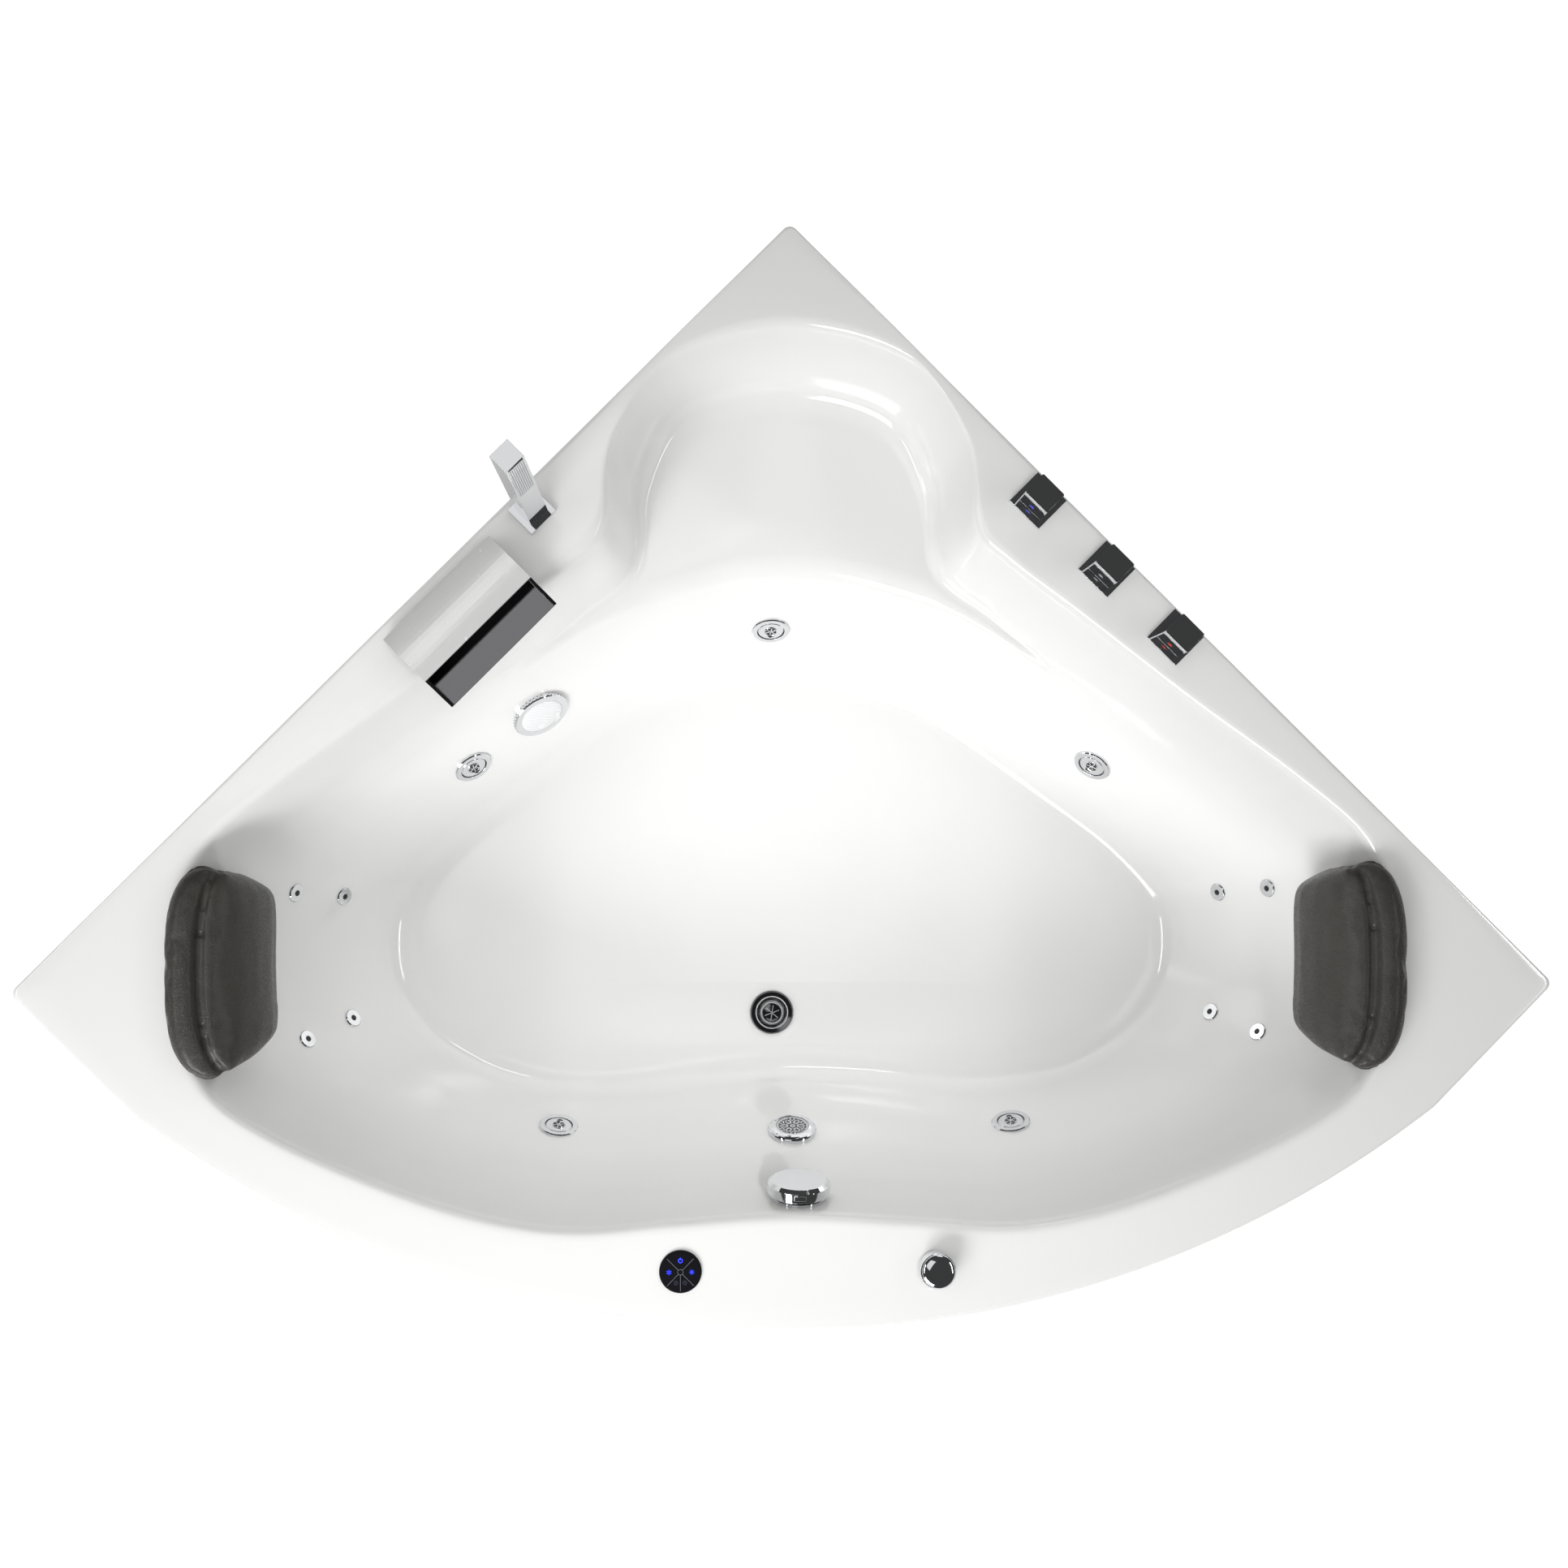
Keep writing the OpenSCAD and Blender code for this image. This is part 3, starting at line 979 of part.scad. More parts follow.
// Headrests: the section runs in from the mouth edge and up from the rim, as shares of the reach
headrest_gap = 0.4;
headrest_at_share = 0.018;
headrest_rings = 22;
headrest_shares = [[0.02, 0], [-0.1, 0], [-0.17, 0.06], [-0.15, 0.17], [-0.05, 0.25], [0.07, 0.26],
    [0.16, 0.21], [0.2, 0.17], [0.28, 0.19], [0.42, 0.13], [0.56, -0.02], [0.7, -0.25], [0.79, -0.53],
    [0.79, -0.78], [0.7, -0.97], [0.55, -1.05], [0.34, -0.98], [0.28, -0.78], [0.19, -0.47],
    [0.115, -0.22], [0.06, -0.05]];
headrest_core_share = [0.33, -0.16];
headrest_end_share = 0.3;
search_count = 14;
function mouth_station(y, low, high, left) = let (middle = (low + high) / 2) left < 1 ? middle
    : spline(mouth_pts, middle)[1] < y ? mouth_station(y, middle, high, left - 1)
    : mouth_station(y, low, middle, left - 1);
function headrest_pt(t, share) = let (
    u = mouth_station(headrest_at_share * wall_side + t * headrest_len / 2, arc_end_k - 1, seat_k - 2,
    search_count),
    p = spline(mouth_pts, u), q = unit(spline(mouth_pts, u + corner_step) - spline(mouth_pts,
    u - corner_step)),
    size = mix(headrest_end_share, 1, sqrt(1 - pow(abs(t), 4))),
    inward = mix(headrest_core_share[0], share[0], size) * headrest_reach,
    rise = (share[1] < 0 ? mix(headrest_core_share[1], share[1], size) : share[1] * size) * headrest_reach)
    [p[0] - q[1] * inward, p[1] + q[0] * inward, headrest_gap + rise];
module headrest_form() {
    m = len(headrest_shares);
    n = headrest_rings;
    end = (n + 1) * m;
    polyhedron(points = concat([for (i = [0 : n], share = headrest_shares)
        headrest_pt(sin(180 * i / n - 90), share)],
        [headrest_pt(-1, headrest_core_share), headrest_pt(1, headrest_core_share)]),
        faces = concat([for (i = [0 : n - 1], j = [0 : m - 1]) let (a = i * m, k = (j + 1) % m)
            each [[a + j, a + k, a + m + k], [a + j, a + m + k, a + m + j]]],
            [for (j = [0 : m - 1]) let (k = (j + 1) % m) each [[k, j, end],
            [n * m + j, n * m + k, end + 1]]]));
}
module headrest_right() color("dimgray") in_tub() headrest_form();
module headrest_left() color("dimgray") in_tub() mirror([1, 0, 0]) headrest_form();

tub_shell();
apron();
base_board();
base_frame();
foot_corner();
foot_right();
foot_front_right();
foot_front_left();
foot_left();
jet_ring_back();
jet_ring_side_left();
jet_ring_side_right();
jet_ring_front_left();
jet_ring_front_right();
jet_nozzle_back();
jet_nozzle_side_left();
jet_nozzle_side_right();
jet_nozzle_front_left();
jet_nozzle_front_right();
water_manifold();
back_jets_left();
back_jets_right();
air_manifold();
light_ring();
light_lens();
light_housing();
suction_ring();
suction_grille();
suction_pipe();
pump_motor();
pump_volute();
pump_impeller();
control_box();
drain_flange();
drain_plug();
waste_trap();
overflow_collar();
overflow_cap();
overflow_pipe();
cold_plate();
diverter_plate();
hot_plate();
cold_knob();
diverter_knob();
hot_knob();
cold_valve();
diverter_valve();
hot_valve();
spout_body();
spout_plate();
spout_shank();
deck_pipes();
handset_sleeve();
handset();
touch_housing();
touch_glass();
air_valve();
air_knob();
headrest_right();
headrest_left();
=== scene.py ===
import json
import math

import bmesh
import bpy
import numpy as np
from mathutils import Matrix, Vector
from mathutils.geometry import tessellate_polygon


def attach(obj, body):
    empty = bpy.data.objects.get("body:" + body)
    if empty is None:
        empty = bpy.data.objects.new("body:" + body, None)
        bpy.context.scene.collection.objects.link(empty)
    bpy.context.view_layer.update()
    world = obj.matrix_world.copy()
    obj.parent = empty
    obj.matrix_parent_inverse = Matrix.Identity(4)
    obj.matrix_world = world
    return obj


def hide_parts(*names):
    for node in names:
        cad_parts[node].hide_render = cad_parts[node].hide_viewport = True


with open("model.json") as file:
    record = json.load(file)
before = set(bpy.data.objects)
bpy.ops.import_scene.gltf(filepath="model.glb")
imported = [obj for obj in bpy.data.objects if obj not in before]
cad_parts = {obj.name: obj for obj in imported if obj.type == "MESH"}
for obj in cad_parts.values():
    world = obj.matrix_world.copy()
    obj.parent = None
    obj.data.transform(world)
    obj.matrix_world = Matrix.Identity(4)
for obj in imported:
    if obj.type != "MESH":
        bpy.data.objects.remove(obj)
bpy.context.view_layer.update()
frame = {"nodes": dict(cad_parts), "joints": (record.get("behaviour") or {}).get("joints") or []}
nodes = frame["nodes"]
scene = bpy.context.scene


# Places. Everything is in metres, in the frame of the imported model.

tub = {
    "wallSide": 1.5, "endSide": 0.24, "frontRadius": 1.48, "height": 0.65, "basinDepth": 0.43,
    "seatDepth": 0.185, "flangeDrop": 0.04, "cornerR": 0.012, "thickness": 0.006,
    "edgeR": 0.008, "mouthR": 0.016, "seatBackR": 0.04, "seatEdgeR": 0.03, "floorR": 0.042,
    "filletShare": 0.45, "upperTurn": (0.22, 0.36), "lowerTurn": (0.36, 0.52), "seatMerge": 0.006,
    "floorMiddleShare": 0.1, "floorReachShare": 0.45,
    "bendCounts": (5, 8, 10, 10, 12), "between": 4, "columnCounts": (48, 10, 10, 84, 6),
}
# The plan's right half, from the middle of the front to the wall corner, in shares of a wall side
mouthShares = [(0, -0.205), (0.107, -0.211), (0.203, -0.217), (0.293, -0.202), (0.387, -0.169),
               (0.477, -0.127), (0.53, -0.087), (0.549, -0.027), (0.55, 0.073), (0.533, 0.133),
               (0.47, 0.19), (0.373, 0.261), (0.267, 0.343), (0.2, 0.394), (0.172, 0.427),
               (0.164, 0.507), (0.11, 0.581), (0, 0.611)]
floorShares = [(0, -0.115), (0.083, -0.119), (0.16, -0.129), (0.23, -0.131), (0.3, -0.116),
               (0.36, -0.08), (0.395, -0.037), (0.411, 0.003), (0.411, 0.05), (0.393, 0.09),
               (0.347, 0.139), (0.277, 0.191), (0.207, 0.241), (0.157, 0.272), (0.12, 0.287),
               (0.077, 0.299), (0.037, 0.307), (0, 0.31)]
seatBackShares = [(0.251, 0.319), (0.199, 0.36), (0.151, 0.403), (0.142, 0.49), (0.1, 0.557), (0, 0.581)]
seatFrontShares = [(0.244, 0.313), (0.193, 0.347), (0.148, 0.369), (0.1, 0.385), (0.055, 0.396), (0, 0.4)]

# Stations count along these lists: where the seat starts, the front arc ends and the far corner lies
seatStation = 12
lastStation = len(mouthShares) - 1
arcEnd = 6
farCorner = 7.5
cornerStep = 0.08
cornerStart, cornerStop = farCorner - cornerStep, farCorner + cornerStep
apexStart = lastStation - cornerStep

side = tub["wallSide"]
halfSpan = side / math.sqrt(2)
endRun = tub["endSide"] / math.sqrt(2)
arcX = halfSpan - endRun
arcMiddleY = -endRun + math.sqrt(tub["frontRadius"] ** 2 - arcX ** 2)
apexY = halfSpan - tub["cornerR"] * (math.sqrt(2) - 1)
midY = (arcMiddleY - tub["frontRadius"] + apexY) / 2
rimZ = tub["height"]
floorZ = rimZ - tub["basinDepth"]


def mix(a, b, share):
    return a + (b - a) * share


def steps(start, end, count):
    return [mix(start, end, i / count) for i in range(count)]


def around(radius, degrees):
    a = math.radians(degrees)
    return radius * math.cos(a), radius * math.sin(a)


def circle(radius, count, middle=(0, 0)):
    spots = [around(radius, 360 * i / count) for i in range(count)]
    return [(middle[0] + x, middle[1] + y) for x, y in spots]


def station(shares, k, z):
    return Vector((shares[k][0] * side, shares[k][1] * side - midY, rimZ + z))


mouthPoints = [station(mouthShares, k, 0) for k in range(lastStation + 1)]
floorPoints = [station(floorShares, k, -tub["basinDepth"]) for k in range(lastStation + 1)]


def wallTurn(k, turn):
    p = mix(mouthPoints[k], floorPoints[k], turn[0])
    return Vector((p.x, p.y, rimZ - turn[1] * tub["basinDepth"]))


def turnRow(turn, seatShares, merge):
    row = [wallTurn(k, turn) for k in range(seatStation)]
    for k in range(seatStation, lastStation + 1):
        drop = merge if k == seatStation else 0
        row.append(station(seatShares, k - seatStation, -tub["seatDepth"] - drop))
    return row


upperPoints = turnRow(tub["upperTurn"], seatBackShares, 0)
lowerPoints = turnRow(tub["lowerTurn"], seatFrontShares, tub["seatMerge"])


# The lists go on past both ends as their own mirror images
def control(points, k):
    if 0 <= k <= lastStation:
        return points[k]
    p = points[-k if k < 0 else 2 * lastStation - k]
    return Vector((-p.x, p.y, p.z))


def spline(points, u):
    k = min(math.floor(u), lastStation - 1)
    t = u - k
    a, b, c, d = (control(points, k + i) for i in (-1, 0, 1, 2))
    return 0.5 * (2 * b + (c - a) * t + (2 * a - 5 * b + 4 * c - d) * t * t
                  + (3 * b - a - 3 * c + d) * t * t * t)


def roundCorner(x, y, degrees, z):
    across, along = around(tub["cornerR"], degrees)
    return Vector((x + across, y + along - midY, z))


def outline(u, z):
    r, front = tub["cornerR"], tub["frontRadius"]
    farEnd = Vector((halfSpan, -midY, z))
    inset = halfSpan - r * math.sqrt(2)
    if u <= arcEnd:
        a = u / arcEnd * math.asin(arcX / front)
        return Vector((front * math.sin(a), arcMiddleY - front * math.cos(a) - midY, z))
    if u < cornerStart:
        t = (u - arcEnd) / (cornerStart - arcEnd) * (1 - r / tub["endSide"])
        return mix(Vector((arcX, -endRun - midY, z)), farEnd, t)
    if u <= cornerStop:
        return roundCorner(inset, 0, -45 + 45 * (u - cornerStart) / cornerStep, z)
    if u < apexStart:
        t = (u - cornerStop) / (apexStart - cornerStop)
        along = (r + (side - 2 * r) * t) / side
        return mix(farEnd, Vector((0, halfSpan - midY, z)), along)
    return roundCorner(0, inset, 45 + 45 * (u - apexStart) / cornerStep, z)


def bend(a, b, c, radius, count):
    toA, toC = (a - b).length, (c - b).length
    t = min(radius, tub["filletShare"] * toA, tub["filletShare"] * toC)
    p, q = mix(b, a, t / toA), mix(b, c, t / toC)
    shares = [i / (count - 1) for i in range(count)]
    return [(1 - s) ** 2 * p + 2 * s * (1 - s) * b + s * s * q for s in shares]


# One cut through rim and basin, from the flange's edge to the flat floor
def profile(u):
    corners = [outline(u, rimZ - tub["flangeDrop"]), outline(u, rimZ), spline(mouthPoints, u),
               spline(upperPoints, u), spline(lowerPoints, u), spline(floorPoints, u)]
    middle = Vector((0, tub["floorMiddleShare"] * side - midY, floorZ))
    corners.append(mix(corners[-1], middle, tub["floorReachShare"]))
    radii = [tub[name] for name in ("edgeR", "mouthR", "seatBackR", "seatEdgeR", "floorR")]
    rows = [corners[0]]
    for k, (radius, count) in enumerate(zip(radii, tub["bendCounts"])):
        arc = bend(corners[k], corners[k + 1], corners[k + 2], radius, count)
        rows += [mix(rows[-1], arc[0], i / tub["between"]) for i in range(1, tub["between"])]
        rows += arc
    return rows


def rimPlace(x, y, angle=0):
    return Matrix.Translation((x, y - midY, rimZ)) @ Matrix.Rotation(math.radians(angle), 4, "Z")


# s runs along a wall side from the wall corner, d runs in from the wall; y points into the tub
def leftRim(s, d):
    return rimPlace((d - s) / math.sqrt(2), halfSpan - (s + d) / math.sqrt(2), -135)


def rightRim(s, d):
    return rimPlace((s - d) / math.sqrt(2), halfSpan - (s + d) / math.sqrt(2), 135)


def facing(point, normal):
    n = Vector(normal).normalized()
    across = Vector((0, 0, 1)).cross(n).normalized()
    turn = Matrix((across, n.cross(across), n)).transposed().to_4x4()
    return Matrix.Translation(point) @ turn


# Materials

mixSockets = {"factor": 0, "first": 6, "second": 7, "result": 2}  # a Mix node's sockets for colours


def addNode(owner, kind, **inputs):
    made = owner.node_tree.nodes.new("ShaderNode" + kind)
    for name, value in inputs.items():
        made.inputs[name].default_value = value
    return made


def link(owner, source, target):
    owner.node_tree.links.new(source, target)


def newMaterial(name, color, roughness, metallic=0.0, **sockets):
    mat = bpy.data.materials.new(name)
    mat.use_nodes = True
    shader = mat.node_tree.nodes["Principled BSDF"]
    shader.inputs["Base Color"].default_value = (*color, 1)
    shader.inputs["Roughness"].default_value = roughness
    shader.inputs["Metallic"].default_value = metallic
    for key, value in sockets.items():
        shader.inputs[key.replace("_", " ")].default_value = value
    coords = addNode(mat, "TexCoord")
    return mat, shader, coords.outputs["Object"]


def noise(mat, coords, scale, detail=3.0, stretch=None):
    made = addNode(mat, "TexNoise", Scale=scale, Detail=detail)
    if stretch:
        mapping = addNode(mat, "Mapping", Scale=stretch)
        link(mat, coords, mapping.inputs["Vector"])
        coords = mapping.outputs["Vector"]
    link(mat, coords, made.inputs["Vector"])
    return made.outputs["Fac"]


def waves(mat, coords, scale, direction):
    made = addNode(mat, "TexWave", Scale=scale)
    made.bands_direction = direction
    link(mat, coords, made.inputs["Vector"])
    return made.outputs["Fac"]


def cells(mat, coords, scale, feature="F1"):
    made = addNode(mat, "TexVoronoi", Scale=scale)
    made.feature = feature
    link(mat, coords, made.inputs["Vector"])
    return made.outputs["Distance"]


def rising(mat, coords, start, end):
    apart = addNode(mat, "SeparateXYZ")
    link(mat, coords, apart.inputs["Vector"])
    return spread(mat, apart.outputs["Z"], 0, 1, start, end)


def spread(mat, source, low, high, start=0.3, end=0.7):
    made = addNode(mat, "MapRange")
    for name, value in (("From Min", start), ("From Max", end), ("To Min", low), ("To Max", high)):
        made.inputs[name].default_value = value
    link(mat, source, made.inputs["Value"])
    return made.outputs["Result"]


# Each colour is three numbers or another node's output
def twoColors(owner, factor, first, second):
    made = owner.node_tree.nodes.new("ShaderNodeMix")
    made.data_type = "RGBA"
    for word, color in (("first", first), ("second", second)):
        socket = made.inputs[mixSockets[word]]
        if isinstance(color, tuple):
            socket.default_value = (*color, 1)
        else:
            link(owner, color, socket)
    link(owner, factor, made.inputs[mixSockets["factor"]])
    return made.outputs[mixSockets["result"]]


def bump(mat, shader, height, strength, distance, under=None):
    made = addNode(mat, "Bump", Strength=strength, Distance=distance)
    link(mat, height, made.inputs["Height"])
    if under:
        link(mat, under, made.inputs["Normal"])
    link(mat, made.outputs["Normal"], shader.inputs["Normal"])
    return made.outputs["Normal"]


acrylic = {"rampStart": 0.05, "rampStop": 0.03}  # over the floor and under the rim


def acrylicMaterial(name, low, high):
    # Painted light: the base colour is paler down in the basin, where the sides light each other, and darker
    # up at the rim
    mat, shader, at = newMaterial(name, high, 0.1, Coat_Weight=0.6, Coat_Roughness=0.03)
    rise = rising(mat, at, floorZ + acrylic["rampStart"], rimZ - acrylic["rampStop"])
    link(mat, twoColors(mat, rise, low, high), shader.inputs["Base Color"])
    smears = noise(mat, at, scale=9.0, detail=5.0)
    link(mat, spread(mat, smears, low=0.07, high=0.14), shader.inputs["Roughness"])
    bump(mat, shader, noise(mat, at, scale=26.0, detail=2.0), strength=0.03, distance=0.002)
    return mat


def fibreMaterial():
    mat, shader, at = newMaterial("fibre", (0.66, 0.64, 0.56), 0.6)
    strands = noise(mat, at, scale=90.0, detail=6.0, stretch=(1, 3.5, 1))
    link(mat, twoColors(mat, strands, (0.6, 0.58, 0.49), (0.76, 0.74, 0.66)), shader.inputs["Base Color"])
    link(mat, spread(mat, strands, low=0.45, high=0.75), shader.inputs["Roughness"])
    bump(mat, shader, strands, strength=0.5, distance=0.002)
    return mat


edgeRadius = 0.0007  # how round the shading makes the edges of metal pieces


def chromeMaterial(name="chrome", color=(0.8, 0.81, 0.83), low=0.03, high=0.08):
    mat, shader, at = newMaterial(name, color, low, 1.0)
    link(mat, spread(mat, noise(mat, at, scale=60.0, detail=6.0), low, high), shader.inputs["Roughness"])
    rounded = addNode(mat, "Bevel", Radius=edgeRadius)
    bump(mat, shader, noise(mat, at, scale=240.0, detail=2.0), strength=0.015, distance=0.0005,
         under=rounded.outputs["Normal"])
    return mat


def plasticMaterial(name, color, roughness, grain=420.0, depth=0.15, **sockets):
    mat, shader, at = newMaterial(name, color, roughness, **sockets)
    lighter = tuple(min(1, c * 1.12 + 0.004) for c in color)
    patches = noise(mat, at, scale=14.0, detail=4.0)
    link(mat, twoColors(mat, patches, tuple(color), lighter), shader.inputs["Base Color"])
    wear = noise(mat, at, scale=35.0, detail=5.0)
    link(mat, spread(mat, wear, roughness * 0.85, min(1, roughness * 1.2)), shader.inputs["Roughness"])
    bump(mat, shader, noise(mat, at, grain, detail=2.0), depth, distance=0.0004)
    return mat


# Painted reflection: a part-metal copy of chrome whose own colour sets how light it looks from every side
def plateMaterial(name, color, low, high):
    mat, shader, at = newMaterial(name, color, low, 0.3, Coat_Weight=0.8, Coat_Roughness=0.04)
    link(mat, spread(mat, noise(mat, at, scale=40.0, detail=4.0), low, high), shader.inputs["Roughness"])
    rounded = addNode(mat, "Bevel", Radius=edgeRadius)
    bump(mat, shader, noise(mat, at, scale=200.0, detail=2.0), strength=0.01, distance=0.0005,
         under=rounded.outputs["Normal"])
    return mat


def boardMaterial():
    mat, shader, at = newMaterial("board", (0.5, 0.36, 0.2), 0.65)
    grain = noise(mat, at, scale=30.0, detail=8.0, stretch=(0.25, 5, 5))
    link(mat, twoColors(mat, spread(mat, grain, 0, 1), (0.42, 0.28, 0.15), (0.64, 0.48, 0.3)),
         shader.inputs["Base Color"])
    link(mat, spread(mat, grain, low=0.55, high=0.8), shader.inputs["Roughness"])
    bump(mat, shader, grain, strength=0.35, distance=0.001)
    return mat


def steelMaterial():
    mat, shader, at = newMaterial("frameSteel", (0.5, 0.52, 0.54), 0.4, 0.9)
    spangle = cells(mat, at, scale=70.0)
    tone = spread(mat, spangle, 0, 1, start=0.0, end=0.9)
    link(mat, twoColors(mat, tone, (0.42, 0.44, 0.46), (0.62, 0.64, 0.66)), shader.inputs["Base Color"])
    link(mat, spread(mat, spangle, low=0.28, high=0.5, start=0.0, end=0.9), shader.inputs["Roughness"])
    bump(mat, shader, noise(mat, at, scale=160.0), strength=0.08, distance=0.0005)
    return mat


foot = {"padTop": 0.016, "seam": 0.0005}


def footMaterial():
    # A black pad with a zinc-plated screw in it
    mat, shader, at = newMaterial("foot", (0.03, 0.03, 0.03), 0.6)
    screw = rising(mat, at, foot["padTop"] - foot["seam"], foot["padTop"] + foot["seam"])
    link(mat, twoColors(mat, screw, (0.02, 0.02, 0.021), (0.62, 0.62, 0.6)), shader.inputs["Base Color"])
    link(mat, screw, shader.inputs["Metallic"])
    link(mat, spread(mat, screw, low=0.7, high=0.3, start=0, end=1), shader.inputs["Roughness"])
    bump(mat, shader, waves(mat, at, scale=160.0, direction="Z"), strength=0.3, distance=0.0008)
    return mat


def leatherMaterial():
    mat, shader, at = newMaterial("leather", (0.02, 0.019, 0.016), 0.42, Specular_IOR_Level=0.6,
                                  Coat_Weight=0.35, Coat_Roughness=0.3)
    creases = spread(mat, cells(mat, at, scale=760.0, feature="DISTANCE_TO_EDGE"), 0, 1, start=0.0, end=0.25)
    worn = noise(mat, at, scale=40.0, detail=5.0)
    brown = twoColors(mat, worn, (0.016, 0.0142, 0.011), (0.037, 0.0335, 0.027))
    link(mat, brown, shader.inputs["Base Color"])
    speck = noise(mat, at, scale=420.0)
    link(mat, spread(mat, speck, low=0.3, high=0.62, start=0.35, end=0.65), shader.inputs["Roughness"])
    fine = bump(mat, shader, creases, strength=0.45, distance=0.0006)
    bump(mat, shader, speck, strength=0.6, distance=0.0012, under=fine)
    return mat


def lensMaterial():
    mat, shader, at = newMaterial("lens", (0.9, 0.91, 0.93), 0.22, Coat_Weight=0.4,
                                  Subsurface_Weight=0.3, Subsurface_Radius=(0.004, 0.004, 0.004))
    ribs = waves(mat, at, scale=110.0, direction="DIAGONAL")
    link(mat, twoColors(mat, ribs, (0.8, 0.81, 0.83), (0.95, 0.95, 0.96)), shader.inputs["Base Color"])
    link(mat, spread(mat, noise(mat, at, scale=50.0), low=0.15, high=0.3), shader.inputs["Roughness"])
    bump(mat, shader, ribs, strength=0.5, distance=0.0012)
    return mat


def glowMaterial(name, color, strength):
    mat, shader, at = newMaterial(name, color, 0.4, Emission_Color=(*color, 1), Emission_Strength=strength)
    flicker = noise(mat, at, scale=300.0)
    link(mat, spread(mat, flicker, strength * 0.85, strength * 1.1), shader.inputs["Emission Strength"])
    link(mat, spread(mat, noise(mat, at, scale=200.0), low=0.3, high=0.5), shader.inputs["Roughness"])
    bump(mat, shader, noise(mat, at, scale=800.0), strength=0.05, distance=0.0002)
    return mat


looks = {
    # Painted light: each acrylic look is given its paler colour for low down and its darker colour for the
    # top
    "acrylic": acrylicMaterial("acrylic", (0.9, 0.9, 0.89), (0.75, 0.75, 0.74)),
    "panel": acrylicMaterial("panel", (0.76, 0.76, 0.75), (0.745, 0.745, 0.735)),
    "board": boardMaterial(),
    "frame_steel": steelMaterial(),
    "foot": footMaterial(),
    "pipe_white": plasticMaterial("pipeWhite", (0.72, 0.72, 0.7), 0.34),
    "pipe_grey": plasticMaterial("pipeGrey", (0.2, 0.21, 0.22), 0.38),
    "chrome": chromeMaterial(),
    "lens": lensMaterial(),
    "plastic_grey": plasticMaterial("plasticGrey", (0.3, 0.31, 0.32), 0.45),
    "plastic_black": plasticMaterial("plasticBlack", (0.018, 0.018, 0.019), 0.4),
    "motor": plasticMaterial("motorPaint", (0.06, 0.09, 0.13), 0.42, grain=260.0, depth=0.4),
    "brass": chromeMaterial("brass", (0.72, 0.53, 0.25), 0.16, 0.3),
    # Painted reflection: the spout plate is a pale copy of chrome that looks bright from every side
    "spout_plate": plateMaterial("spoutPlate", (0.74, 0.74, 0.735), 0.2, 0.28),
    "touch_glass": plasticMaterial("touchGlass", (0.004, 0.004, 0.006), 0.05, grain=300.0, depth=0.01,
                                   Coat_Weight=1.0),
    "headrest": leatherMaterial(),
}
fibre = fibreMaterial()
# Painted shade: a near-black plastic laid into holes and gaps, where only shade falls
darkInk = plasticMaterial("darkInk", (0.012, 0.012, 0.013), 0.35)
# Painted reflection: a dark copy of chrome that stands in for the dark reflections on the spout body and the
# drain
smokedChrome = chromeMaterial("smokedChrome", (0.2, 0.2, 0.21), 0.05, 0.12)
# Painted highlight: a lighter copy of chrome for the drain ring, and a greyer one for the suction grille and
# the plug's relief
brightChrome = plateMaterial("brightChrome", (0.7, 0.71, 0.72), 0.16, 0.24)
nozzleChrome = plateMaterial("nozzleChrome", (0.52, 0.53, 0.54), 0.16, 0.24)
# Painted reflection: the spout body and the drain take the dark copy of chrome, and the suction grille a
# greyer one
ownLook = {"spout_body": smokedChrome, "suction_grille": nozzleChrome,
           "drain_flange": smokedChrome, "drain_plug": smokedChrome}
for name, node in nodes.items():
    for place in node.material_slots:
        place.material = ownLook.get(name) or looks[place.material.name.split(".")[0]]
print("materials done")


# Pieces

weldGap = 1e-5
domeEdge = 75  # degrees up a dome at which its flat top starts


def piece(name, vertices, faces, body, mat, smooth=True):
    mesh = bpy.data.meshes.new(name)
    mesh.from_pydata([tuple(v) for v in vertices], [], faces)
    mesh.update()
    made = bpy.data.objects.new(name, mesh)
    scene.collection.objects.link(made)
    mesh.materials.append(mat)
    if smooth:
        mesh.shade_smooth()
    outwards = bmesh.new()
    outwards.from_mesh(mesh)
    bmesh.ops.recalc_face_normals(outwards, faces=outwards.faces)
    outwards.to_mesh(mesh)
    outwards.free()
    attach(made, body)
    return made


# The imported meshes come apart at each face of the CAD, so they are welded where they are worked on
def weldedMesh(node):
    mesh = bmesh.new()
    mesh.from_mesh(nodes[node].data)
    bmesh.ops.remove_doubles(mesh, verts=mesh.verts, dist=weldGap)
    return mesh


